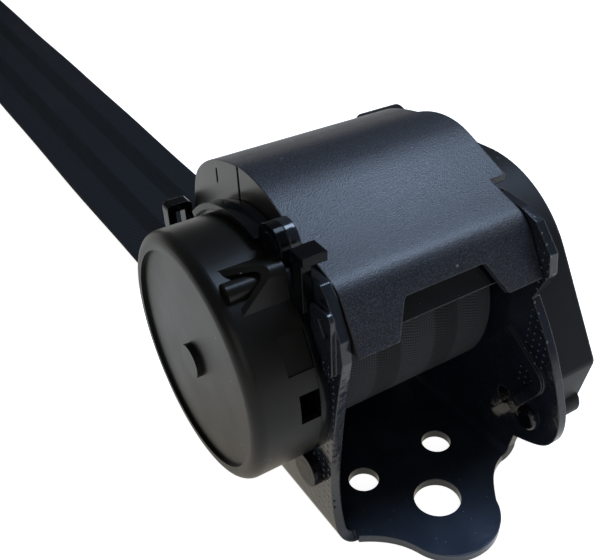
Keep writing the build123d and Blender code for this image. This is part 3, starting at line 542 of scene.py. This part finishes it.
def dimple_mask(finish, place):
    """1 in the middle of each dimple of the walls' front edges. Their columns stand at
    y - 0.03 (0.06 - z), so they lean with the edges."""
    y, z = place[1:]
    lean = finish.math("MULTIPLY", finish.math("SUBTRACT", 0.06, z), 0.03)
    column = finish.math("SUBTRACT", y, lean)
    dots = finish.group(DOTS, place=finish.pair(column, z), Pitch=0.0021, Radius=0.00042)
    sockets = dict(zip("XYZ", place))
    masks = []
    for limits in DIMPLED:
        inside, *others = [finish.band(sockets[axis], *limit) for axis, *limit in limits]
        for other in others:
            inside = finish.math("MULTIPLY", inside, other)
        masks.append(inside)
    return finish.math("MULTIPLY", dots.outputs["Dot"], finish.math("ADD", *masks))


def dip_coat(name, dimpled=False, shade=1.0):
    """Frame: glossy black dip coat with a slight orange peel and thinner, brighter edges. On the
    lug in front of the walls a painted reflection makes it paler and bluer, and specks of dust
    gather
    most there. shade is painted shade: it darkens the coat's colour for pieces little light
    reaches."""
    coat_colours = (0.009, 0.012, 0.018), (0.018, 0.023, 0.034)
    # next, a painted reflection: the lug's coat colour paler and bluer
    lug_reflection_colours = (0.032, 0.044, 0.068), (0.044, 0.059, 0.090)
    dust, worn, dimple_highlight = (0.40, 0.43, 0.48), (0.060, 0.066, 0.080), (0.14, 0.15, 0.17)
    finish = Finish(name, (0.006, 0.007, 0.010), 0.16)
    edge = finish.round_edges(0.0005)
    patches = finish.group(PATCHES, Scale=55.0)
    specks = finish.group(PATCHES, Scale=75.0)
    place = finish.parts(finish.object_place)
    patch = patches.outputs["Patch"]
    # painted shade: shade scales the coat's colours down
    base = finish.mix_colour(patch, *(scaled(colour, shade) for colour in coat_colours))
    before_walls = finish.fall(place[1], -0.005, 0.011)
    on_lug = finish.math("MULTIPLY", before_walls, finish.fall(place[2], 0.0028, 0.0060))
    # painted reflection on the lug in front of the walls
    base = finish.mix_colour(on_lug, base, finish.mix_colour(patch, *lug_reflection_colours))
    speck_share = finish.math("MULTIPLY_ADD", on_lug, 0.7, 0.15)
    speck_mask = finish.math("MULTIPLY", specks.outputs["Dust"], speck_share)
    base = finish.mix_colour(speck_mask, base, dust)
    colour = finish.mix_colour(edge, base, worn, share=0.6)
    finish.set_roughness(patch, 0.10, 0.22)
    finish.bump(patches.outputs["Ripple"], 0.00016, 0.45)
    if dimpled:
        dimple = dimple_mask(finish, place)
        # painted highlight: the middle of each dimple paler, as if it reflected light
        colour = finish.mix_colour(dimple, colour, dimple_highlight, share=0.6)
        finish.bump(dimple, 0.0004, 1.0)
    finish.set_colour(colour)
    return finish.material


def belt_cloth(name, lift=(1.0, 1.0, 1.0), rib=0.0011):
    """Woven belt: slate yarn with two darker stripes, panels of leaning ribs and a warm worn rim.
    lift is painted light: how much each colour channel is raised, as on the roll, which lies in
    shade under the cover and so is given a lighter colour than the free end."""
    light_yarn = scaled((0.008, 0.010, 0.013), lift), scaled((0.028, 0.033, 0.039), lift)
    dark_yarn = scaled((0.004, 0.0055, 0.0065), lift), scaled((0.014, 0.018, 0.020), lift)
    faded, rim_colour = (0.021, 0.025, 0.030), (0.050, 0.038, 0.026)
    finish = Finish(name, (0.016, 0.018, 0.022), 0.62, specular=0.12, cloth=True)
    weave = finish.group(WEAVE, Rib=rib)
    patches = finish.group(PATCHES, place=finish.object_place, Scale=14.0)
    patch = patches.outputs["Patch"]
    light = finish.mix_colour(weave.outputs["Shade"], *light_yarn)
    dark = finish.mix_colour(weave.outputs["Shade"], *dark_yarn)
    cloth = finish.mix_colour(weave.outputs["Stripe"], light, dark)
    cloth = finish.mix_colour(patch, cloth, finish.mix_colour(patch, cloth, faded), share=0.25)
    across = finish.parts(finish.place)[0]
    rim = finish.step(finish.math("ABSOLUTE", across), 0.0226, 0.0236)
    finish.set_colour(finish.mix_colour(rim, cloth, rim_colour, share=0.5))
    finish.set_roughness(patch, 0.55, 0.70)
    finish.bump(weave.outputs["Height"], 0.00016, 0.7)
    return finish.material


def sewing_thread():
    """Twisted thread."""
    twist_colours, twist_length = ((0.020, 0.023, 0.028), (0.050, 0.056, 0.066)), 0.0005
    finish = Finish("sewing_thread", (0.030, 0.034, 0.040), 0.5, specular=0.3)
    x, y = finish.parts(finish.object_place)[:2]
    twist = wave_node(finish.tree, finish.math("ADD", x, y), twist_length)
    twist = finish.math("MULTIPLY_ADD", twist, 0.5, 0.5)
    finish.set_colour(finish.mix_colour(twist, *twist_colours))
    finish.set_roughness(twist, 0.45, 0.6)
    finish.bump(twist, 0.00008, 0.6)
    return finish.material


def bare_steel(name, colour, roughness):
    """Plain or plated steel with drawn-out grain and brighter edges."""
    finish = Finish(name, colour, roughness, metallic=1.0)
    edge = finish.round_edges(0.0004)
    stretch = finish.tree.nodes.new("ShaderNodeMapping")
    stretch.inputs["Scale"].default_value = (1.0, 9.0, 1.0)
    finish.tree.links.new(finish.object_place, stretch.inputs["Vector"])
    streaks = finish.group(PATCHES, place=stretch.outputs[0], Scale=150.0)
    streak = streaks.outputs["Patch"]
    base = finish.mix_colour(streak, scaled(colour, 0.82), scaled(colour, 1.08))
    finish.set_colour(finish.mix_colour(edge, base, scaled(colour, 1.35), share=0.4))
    finish.set_roughness(streak, roughness * 0.8, roughness * 1.25)
    finish.bump(streaks.outputs["Ripple"], 0.00003, 0.5)
    return finish.material


def natural_plastic(name, colour):
    """Uncoloured moulding with a waxy look."""
    finish = Finish(name, colour, 0.45)
    finish.round_edges(0.0003)
    patches = finish.group(PATCHES, Scale=70.0)
    patch = patches.outputs["Patch"]
    finish.set_colour(finish.mix_colour(patch, scaled(colour, 0.85), scaled(colour, 1.05)))
    finish.set_roughness(patch, 0.38, 0.5)
    finish.bump(patches.outputs["Ripple"], 0.00005, 0.4)
    return finish.material


COVER = grained_plastic()
TONGUE = tongue_plastic()
SATIN = smooth_plastic()
SENSOR = sensor_plastic()
DISC = disc_plastic()
COAT = dip_coat("dip_coat_dimpled", dimpled=True)
# painted shade: the coat at 0.3 of its colour, for the tie plate in shade under the cover, and the
# stud and rivet
PAINTED_SHADE_COAT = dip_coat("dip_coat", shade=0.3)
BELT = belt_cloth("belt_cloth")
# painted light: the wound belt's colours raised, since the roll lies in shade under the cover
LIT_ROLL_BELT = belt_cloth("belt_cloth_wound_painted_light", lift=(3.3, 2.8, 2.4), rib=0.0008)
THREAD = sewing_thread()
STEEL = bare_steel("oiled_steel", (0.42, 0.42, 0.43), 0.32)
PLATED = bare_steel("bright_plating", (0.60, 0.59, 0.57), 0.24)
BLUED = bare_steel("blued_strip", (0.25, 0.27, 0.31), 0.3)
CAST = bare_steel("cast_metal", (0.40, 0.40, 0.41), 0.5)
PALE = natural_plastic("pale_plastic", (0.46, 0.44, 0.40))
BUSH = natural_plastic("bush_plastic", (0.62, 0.60, 0.54))

# The CAD nodes that stay; the belt's three and the top cover's are replaced below
NODE_FINISH = {
    "frame": COAT, "tie_plate": PAINTED_SHADE_COAT, "webbing_guide": SATIN, "spring_housing": SATIN,
    "push_pins": SATIN, "spring_cover": DISC, "power_spring": BLUED, "bearing_left": BUSH,
    "bearing_right": BUSH, "spool_core": CAST, "spring_arbor": BUSH, "ratchet_wheel": STEEL,
    "flywheel": SATIN, "torsion_bar": STEEL, "locking_pawl": STEEL, "pawl_stud": PAINTED_SHADE_COAT,
    "sensor_cover": SENSOR, "cover_rivet": PAINTED_SHADE_COAT, "sensor_housing": PALE,
    "sensor_ball": STEEL, "sensor_lever": PALE, "end_anchor_plate": PLATED,
    "tongue_blade": PLATED, "tongue_grip": TONGUE,
}
for node_name, material in NODE_FINISH.items():
    target = nodes[node_name]
    target.data.materials.clear()
    target.data.materials.append(material)


# The belt

PLY = WEB_THICK / 2                 # from the doubled belt's middle to each layer's
PLIES_PART = 0.6035                 # Y where the two layers part towards the bar
NECK_Y, NECK_RISE = 0.6085, 0.0018  # a point of each layer between there and the bar
LOOP = 0.00215                      # radius of the belt's middle round the bar
LOOP_REACH = 0.0044                 # of that turn past the bar
BELT_ROUTE = [(0, y, WEB_LEVEL + rise) for y, rise in (
    (STRAP_START, 0), (0.2, 0), (0.33, 0), (0.46, 0), (0.536, 0), (0.547, 0), (0.559, PLY),
    (0.575, PLY), (PLIES_PART, PLY), (NECK_Y, NECK_RISE), (STRAP_END, LOOP),
    (STRAP_END + LOOP_REACH, LOOP), (STRAP_END + LOOP_REACH, -LOOP),
    (STRAP_END, -LOOP), (NECK_Y, -NECK_RISE), (PLIES_PART, -PLY), (0.575, -PLY),
    (SEWN_START, -PLY),
)]


def add_free_belt(line):
    """The drawn belt: straight and level from the guide to its sewn end, round the end plate's
    bar and back under."""
    belt = belt_along("free_webbing", line, sway=0.00018)
    belt.data.materials.append(BELT)
    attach(belt, "retractor")
    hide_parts("webbing_strap")
    return belt


def stitch_rows():
    """Middle and direction of every stitch: a rectangle round the doubled belt and a zigzag
    inside it."""
    left, right, near, far = -0.0195, 0.0195, 0.5645, 0.5995
    pitch = 0.0031
    outline = [(left, near), (right, near), (right, far), (left, far), (left, near)]
    zigzag = [
        (-0.0155, near), (-0.0095, far), (-0.0035, near), (0.0023, far), (0.0095, near),
        (0.0155, far),
    ]
    middles, aheads = [], []
    for line in (outline, zigzag):
        for start, end in zip(line[:-1], line[1:]):
            start, end = np.array(start), np.array(end)
            span = np.linalg.norm(end - start)
            count = int(round(span / pitch))
            shares = (np.arange(count) + 0.5) / count
            middles.append(start + shares[:, None] * (end - start))
            aheads.append(np.broadcast_to((end - start) / span, (count, 2)))
    return np.concatenate(middles), np.concatenate(aheads)


def add_stitching():
    """Sewing on both faces of the sewn end. A stitch is a thread that dips into the cloth at both
    ends. Its six-sided rings stand at the share t of its length; their radius is
    0.0003 (0.55 + 0.45 sin(pi t)), flattened to 0.7 in height, and their middle lies
    0.00012 sin(pi t) over the cloth. A point closes it at each end."""
    middles, aheads = stitch_rows()
    rings, sides, half_length = 5, 6, 0.00125
    thread_radius, arch_height, dip, clearance = 0.00030, 0.00012, 0.0002, 0.00002
    share = np.linspace(0.12, 0.88, rings)
    arch = np.sin(share * math.pi)
    turn = np.arange(sides) * 2 * math.pi / sides
    along = np.repeat((share * 2 - 1) * half_length, sides)
    along = np.concatenate([[-half_length], along, [half_length]])
    width = thread_radius * np.repeat(0.55 + 0.45 * arch, sides)
    side = np.concatenate([[0], width * np.tile(np.cos(turn), rings), [0]])
    lift = arch_height * np.repeat(arch, sides) + width * 0.7 * np.tile(np.sin(turn), rings)
    lift = np.concatenate([[-dip], lift, [-dip]])
    faces = [[0, 1 + (k + 1) % sides, 1 + k] for k in range(sides)]
    faces += [[1 + v for v in quad] for quad in grid_faces(rings, sides, wrap_columns=True)]
    last = rings * sides + 1
    faces += [[last, last - sides + k, last - sides + (k + 1) % sides] for k in range(sides)]
    across = np.stack([-aheads[:, 1], aheads[:, 0]], axis=1)
    flat = middles[:, None, :] + along[None, :, None] * aheads[:, None, :]
    flat = flat + side[None, :, None] * across[:, None, :]
    layers = []
    for face_side in (1, -1):
        height = WEB_LEVEL + face_side * (WEB_THICK + clearance + lift)
        height = np.broadcast_to(height, flat.shape[:2])
        layers.append(np.concatenate([flat, height[..., None]], axis=-1).reshape(-1, 3))
    points = np.concatenate(layers)
    count = len(points) // len(along)
    all_faces = [[v + k * len(along) for v in face] for k in range(count) for face in faces]
    sewing = mesh_piece("end_stitching", points, all_faces)
    sewing.data.materials.append(THREAD)
    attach(sewing, "retractor")
    return sewing


def add_run_to_guide():
    """The belt between the guide and the roll, straight on a tangent just clear of the roll."""
    rows, clearance = 24, 0.0003
    radius = ROLL_RADIUS + clearance + WEB_THICK / 2
    span = math.hypot(STRAP_START - SPOOL_Y, WEB_LEVEL - SPOOL_Z)
    angle = math.atan2(SPOOL_Z - WEB_LEVEL, SPOOL_Y - STRAP_START) + math.asin(radius / span)
    reach = np.linspace(1, 0, rows) * math.sqrt(span**2 - radius**2)
    y = STRAP_START + reach * math.cos(angle)
    z = WEB_LEVEL + reach * math.sin(angle)
    run = belt_along("webbing_to_guide", np.stack([np.zeros(rows), y, z], axis=1))
    run.data.materials.append(BELT)
    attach(run, "retractor")
    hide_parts("webbing_run")


def add_roll():
    """The wound belt: a surface of revolution whose ends are stepped turn by turn. At the share t
    of turn n, counted inwards, an end lies back from the belt's half width by
    0.00042 (1 - sqrt(1 - (2 t - 1)^2)) + 0.0004 (0.5 + 0.5 sin(2.4 n)), a half ellipse and a slow
    sine. The outside is out of round by 0.0035 (0.5 - 0.5 sin(2 angle + 0.8)) of its radius. The
    profile runs up one end, along the outside, down the other end and back along the core."""
    turns, steps = 13, 7
    outside_rows, corner, columns = 30, 0.0012, 181
    count = turns * steps + 1
    radii = np.linspace(ROLL_RADIUS, CORE_RADIUS, count)
    place = np.linspace(0, turns - 1e-6, count)
    edge = 0.00042 * (1 - np.sqrt(np.clip(1 - (2 * np.abs(place % 1.0 - 0.5)) ** 2, 0, 1)))
    depth = edge + 0.0004 * (0.5 + 0.5 * np.sin(np.floor(place) * 2.4))
    half = WEB_WIDTH / 2
    outside_x = np.linspace(-half + corner, half - corner, outside_rows)
    profile_x = np.concatenate([-(half - depth[::-1]), outside_x, half - depth])[:, None]
    profile_r = np.concatenate([radii[::-1], np.full(outside_rows, ROLL_RADIUS), radii])[:, None]
    angles = np.linspace(0, 2 * math.pi, columns)[None, :]
    outer = profile_r > ROLL_RADIUS - 1e-4
    shrink = 1 - 0.0035 * (0.5 - 0.5 * np.sin(angles * 2 + 0.8)) * outer
    y = SPOOL_Y + profile_r * shrink * np.cos(angles)
    z = SPOOL_Z + profile_r * shrink * np.sin(angles)
    x = np.broadcast_to(profile_x, y.shape)
    points = np.stack([x, y, z], axis=-1).reshape(-1, 3)
    uv = np.stack([x, angles * profile_r], axis=-1).reshape(-1, 2)
    roll = mesh_piece("wound_webbing", points, grid_faces(*y.shape, wrap_rows=True), uv)
    roll.data.materials.append(LIT_ROLL_BELT)
    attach(roll, "spool")
    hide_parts("webbing_roll")


# The top cover: the photograph shows its front slope straighter, and its rear lower, than the CAD
# outline. The left end wall has two slits, and the skin runs on over the right wall as an eave.

COVER_HALF = 0.0262                 # to the outside of each end wall
COVER_SKIN = 0.0018
COVER_LINE = np.array([             # the corners of its outline, Y and Z in millimetres
    (-0.6, 64.0), (7.2, 76.7), (10.2, 77.7), (14.7, 78.8), (21.7, 80.9), (28.0, 83.2),
    (32.5, 85.0), (35.2, 86.0), (39.5, 87.0), (45.0, 87.5), (48.0, 87.3), (53.0, 86.2),
    (58.0, 84.8), (62.0, 83.2), (66.0, 80.9), (70.5, 77.4), (73.2, 74.0), (77.4, 59.5),
]) * 0.001
CORNER_REACH = 0.0035               # along the outline, to each side of a point
NOTCH_LOW, NOTCH_HIGH = 0.0157, 0.0114    # half the notch's width at the front lip and on top
NOTCH_RISE = 0.0074
FRONT_SLOPE = math.radians(58.4)    # of the outline where the notch is
EAVE_FRONT, EAVE_REAR = 0.0200, 0.0490    # Y of the eave's ends
EAVE_TURN = 0.0370                  # Y from which its edge curves in
EAVE_EDGE = 0.0310                  # X of its edge before that
# Each slit's middle in Y, its width, and its lower and upper end in Z
SLITS = [(0.0484, 0.0009, 0.0768, 0.0900), (0.0598, 0.0008, 0.0782, 0.0812)]
SLIT_DEPTH = 0.0013
COVER_CREASE = math.radians(38)     # edges that turn by more than this stay sharp


def cover_profile():
    """The outline from the front lip to the rear lip at even steps of its length, each point the
    mean of the broken line up to CORNER_REACH before and after it, so the corners are arcs. Near
    the two lips that reach narrows to nothing. A slit's edges get a row on each side of them."""
    rows, samples, beside = 150, 21, 0.00001
    run = run_along(COVER_LINE)
    places = np.linspace(0, run[-1], rows)
    reach = np.minimum(CORNER_REACH, np.minimum(places, run[-1] - places))
    near = places[:, None] + reach[:, None] * np.linspace(-1, 1, samples)[None, :]
    line = np.stack([np.interp(near, run, COVER_LINE[:, k]).mean(axis=1) for k in (0, 1)], axis=1)
    edges = np.array([y + side * width / 2 for y, width, *_ in SLITS for side in (-1, 1)])
    edges = np.concatenate([edges - beside, edges + beside])
    extra = np.stack([edges, np.interp(edges, line[:, 0], line[:, 1])], axis=1)
    line = np.concatenate([line, extra])
    return line[np.argsort(line[:, 0])]


def cover_sheet(line, half, eave, slits):
    """Rows of sections of the cover, each from the foot of its left end wall over the skin to the
    foot of the right one. The feet lie on the straight line between the two lips. Columns of the
    skin start at the notch's edge where they cross it. On the eave's rows the skin runs on to
    x = half + (EAVE_EDGE - half) sqrt(1 - t^2), where t goes from 0 to 1 between EAVE_TURN and
    EAVE_REAR, and returns below itself by its own thickness."""
    skin_columns, wall_rows = 81, 12
    y, z = line[:, :1], line[:, 1:]
    foot = np.interp(line[:, 0], line[[0, -1], 0], COVER_LINE[[0, -1], 1])[:, None]
    wall_y = np.repeat(y, wall_rows, axis=1)
    fall = np.linspace(1, 0, wall_rows)[None, :]

    left_z = z - (z - foot) * fall
    in_slit = np.zeros_like(left_z)
    for middle, width, bottom, top in slits:
        beside = np.abs(wall_y - middle) < width / 2
        in_slit = np.maximum(in_slit, beside & (left_z > bottom) & (left_z < top))
    in_slit[:, -1] = 0

    run = run_along(line)
    across = np.linspace(-half, half, skin_columns)
    notch_share = np.clip((NOTCH_LOW - np.abs(across)) / (NOTCH_LOW - NOTCH_HIGH), 0, 1)
    start = NOTCH_RISE / math.sin(FRONT_SLOPE) * notch_share
    skin = start[None, :] + (run[-1] - start[None, :]) * (run / run[-1])[:, None]
    skin_y = np.interp(skin, run, line[:, 0])
    skin_z = np.interp(skin, run, line[:, 1])

    turn = np.clip((y - EAVE_TURN) / (EAVE_REAR - EAVE_TURN), 0, 1)
    reach = np.where(eave[:, None], half + (EAVE_EDGE - half) * np.sqrt(1 - turn**2), half)
    under = np.where(eave[:, None], COVER_SKIN, 0.0)
    right_z = (z - under) - (z - under - foot) * (1 - fall)

    right_x = np.full_like(wall_y, half)
    skin_x = np.broadcast_to(across, skin.shape)
    xs = [in_slit * SLIT_DEPTH - half, skin_x, reach, reach, right_x[:, :1], right_x]
    ys = [wall_y, skin_y, y, y, y, wall_y]
    zs = [left_z, skin_z, z, z - under, z - under, right_z]
    return np.stack([np.concatenate(axis, axis=1) for axis in (xs, ys, zs)], axis=-1)


def add_top_cover():
    """The cover as one closed shell: its outside, the same sheet set in by the skin's thickness,
    and a rim that joins their edges. The two rows at each end of the eave share their place, so
    the eave ends square."""
    profile = cover_profile()
    front = int(np.argmax(profile[:, 0] > EAVE_FRONT))
    rear = int(np.argmax(profile[:, 0] > EAVE_REAR))
    order = np.sort(np.concatenate([np.arange(len(profile)), [front, rear]]))
    row = np.arange(len(order))
    eave = (row > front) & (row <= rear + 1)

    # the way ahead, from four rows before to four rows after
    row = np.arange(len(profile))
    ahead = profile[np.minimum(row + 4, row[-1])] - profile[np.maximum(row - 4, 0)]
    ahead /= np.linalg.norm(ahead, axis=1)[:, None]
    inner = profile + np.stack([ahead[:, 1], -ahead[:, 0]], axis=1) * COVER_SKIN
    inner[:, 0] = np.maximum.accumulate(inner[:, 0])

    outside = cover_sheet(profile[order], COVER_HALF, eave, SLITS)
    inside = cover_sheet(inner[order], COVER_HALF - COVER_SKIN, np.zeros_like(eave), [])
    rows, columns = outside.shape[:2]
    points = np.concatenate([outside.reshape(-1, 3), inside.reshape(-1, 3)])
    count = rows * columns
    sheet = grid_faces(rows, columns)
    faces = sheet + [[count + v for v in quad[::-1]] for quad in sheet]
    index = np.arange(count).reshape(rows, columns)
    rim = np.concatenate([index[0, :-1], index[:-1, -1], index[-1, :0:-1], index[:0:-1, 0]])
    rim = rim.tolist()
    faces += [[a, a + count, b + count, b] for a, b in zip(rim, rim[1:] + rim[:1])]
    cover = mesh_piece("hump_cover", points, faces)
    cover.data.set_sharp_from_angle(angle=COVER_CREASE)
    cover.data.materials.append(COVER)
    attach(cover, "retractor")
    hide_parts("top_cover")


add_top_cover()
belt_line = curve_points(BELT_ROUTE, resolution=24)
belt = add_free_belt(belt_line)
# the cord's line ends where the belt passes over the bar
stitching = add_stitching()
add_run_to_guide()
add_roll()


# Floor, light and camera

def camera_sees(tree):
    """Two masks: 1 for rays from the camera, and 1 for rays that a mirror or glass sends on."""
    rays = tree.nodes.new("ShaderNodeLightPath")
    mirrored, passed = rays.outputs["Is Glossy Ray"], rays.outputs["Is Transmission Ray"]
    return rays.outputs["Is Camera Ray"], math_node(tree, "MAXIMUM", mirrored, passed)


def add_floor():
    """A pale floor that shows white to the camera and a dimmer, warmer white in reflections, and
    keeps the object's shadow."""
    half, level = 4, -0.0004
    corners = [(-half, -half), (half, -half), (half, half), (-half, half)]
    mesh = bpy.data.meshes.new("floor")
    mesh.from_pydata([(x, y, level) for x, y in corners], [], [[0, 1, 2, 3]])
    floor = bpy.data.objects.new("floor", mesh)
    bpy.context.scene.collection.objects.link(floor)
    finish = Finish("pale_floor", (0.9, 0.9, 0.9), 0.8, specular=0.0)
    camera, sent_on = camera_sees(finish.tree)
    tint = finish.mix_colour(camera, (1.0, 0.93, 0.79), (1.0, 1.0, 1.0))
    finish.tree.links.new(tint, finish.shader.inputs["Emission Color"])
    seen, mirrored = finish.math("MULTIPLY", camera, 0.93), finish.math("MULTIPLY", sent_on, 0.61)
    glow = finish.math("MAXIMUM", seen, mirrored)
    finish.tree.links.new(glow, finish.shader.inputs["Emission Strength"])
    mesh.materials.append(finish.material)


def add_lamp(name, place, target, size, power, colour):
    """A rectangular soft lamp that faces target."""
    data = bpy.data.lights.new(name, "AREA")
    data.shape = "RECTANGLE"
    data.size, data.size_y = size
    data.energy = power
    data.color = colour
    lamp = bpy.data.objects.new(name, data)
    bpy.context.scene.collection.objects.link(lamp)
    lamp.location = place
    lamp.rotation_euler = (Vector(target) - Vector(place)).to_track_quat("-Z", "Y").to_euler()


def add_camera():
    """The photograph's camera: its place, and the angles it was turned by, in degrees."""
    place = (-0.10068, -0.107015, 0.175569)
    yaw, pitch, roll = (math.radians(angle) for angle in (-35.54, 39.00, -0.76))
    ahead = Vector((
        -math.sin(yaw) * math.cos(pitch), math.cos(yaw) * math.cos(pitch), -math.sin(pitch),
    ))
    level_right = Vector((math.cos(yaw), math.sin(yaw), 0))
    level_down = ahead.cross(level_right)
    right = level_right * math.cos(roll) + level_down * math.sin(roll)
    down = level_down * math.cos(roll) - level_right * math.sin(roll)
    data = bpy.data.cameras.new("photo_camera")
    data.sensor_width = 36.0
    data.lens = 50.235
    data.shift_x = -0.1163
    data.shift_y = 0.0947
    data.clip_start = 0.01
    camera = bpy.data.objects.new("photo_camera", data)
    bpy.context.scene.collection.objects.link(camera)
    turn = Matrix((right, -down, -ahead)).transposed().to_4x4()
    camera.matrix_world = Matrix.Translation(place) @ turn
    bpy.context.scene.camera = camera


def set_world():
    """A dim even room. The camera sees a white backdrop, and so do reflections near the
    horizon."""
    world = bpy.data.worlds.new("studio")
    world.use_nodes = True
    bpy.context.scene.world = world
    tree = world.node_tree
    backdrop = tree.nodes["Background"]
    backdrop.inputs["Color"].default_value = (1, 1, 1, 1)
    camera, sent_on = camera_sees(tree)
    direction = tree.nodes.new("ShaderNodeTexCoord")
    height = tree.nodes.new("ShaderNodeSeparateXYZ")
    tree.links.new(direction.outputs["Generated"], height.inputs[0])
    low = math_node(tree, "SUBTRACT", 1.0, step_between(tree, height.outputs["Z"], 0.0, 0.06))
    seen = math_node(tree, "MAXIMUM", camera, math_node(tree, "MULTIPLY", sent_on, low))
    # 0.12 in the room and 1 on the backdrop
    strength = math_node(tree, "MULTIPLY_ADD", seen, 0.88, 0.12)
    tree.links.new(strength, backdrop.inputs["Strength"])


add_floor()
# Each lamp's place, target, size, watts and colour
add_lamp("roof_window", (0.38, 0.07, 0.82), (0, 0.04, 0.05), (0.30, 0.36), 4.5, (0.58, 0.74, 1.0))
add_lamp("front_fill", (-0.45, -0.60, 0.45), (0, 0.04, 0.04), (0.5, 0.5), 0.9, (1.0, 0.97, 0.92))
add_lamp("right_strip", (0.65, -0.10, 0.35), (0, 0.04, 0.05), (0.15, 0.5), 0.6, (0.9, 0.95, 1.0))
set_world()
add_camera()
bpy.context.scene.view_settings.view_transform = "Standard"
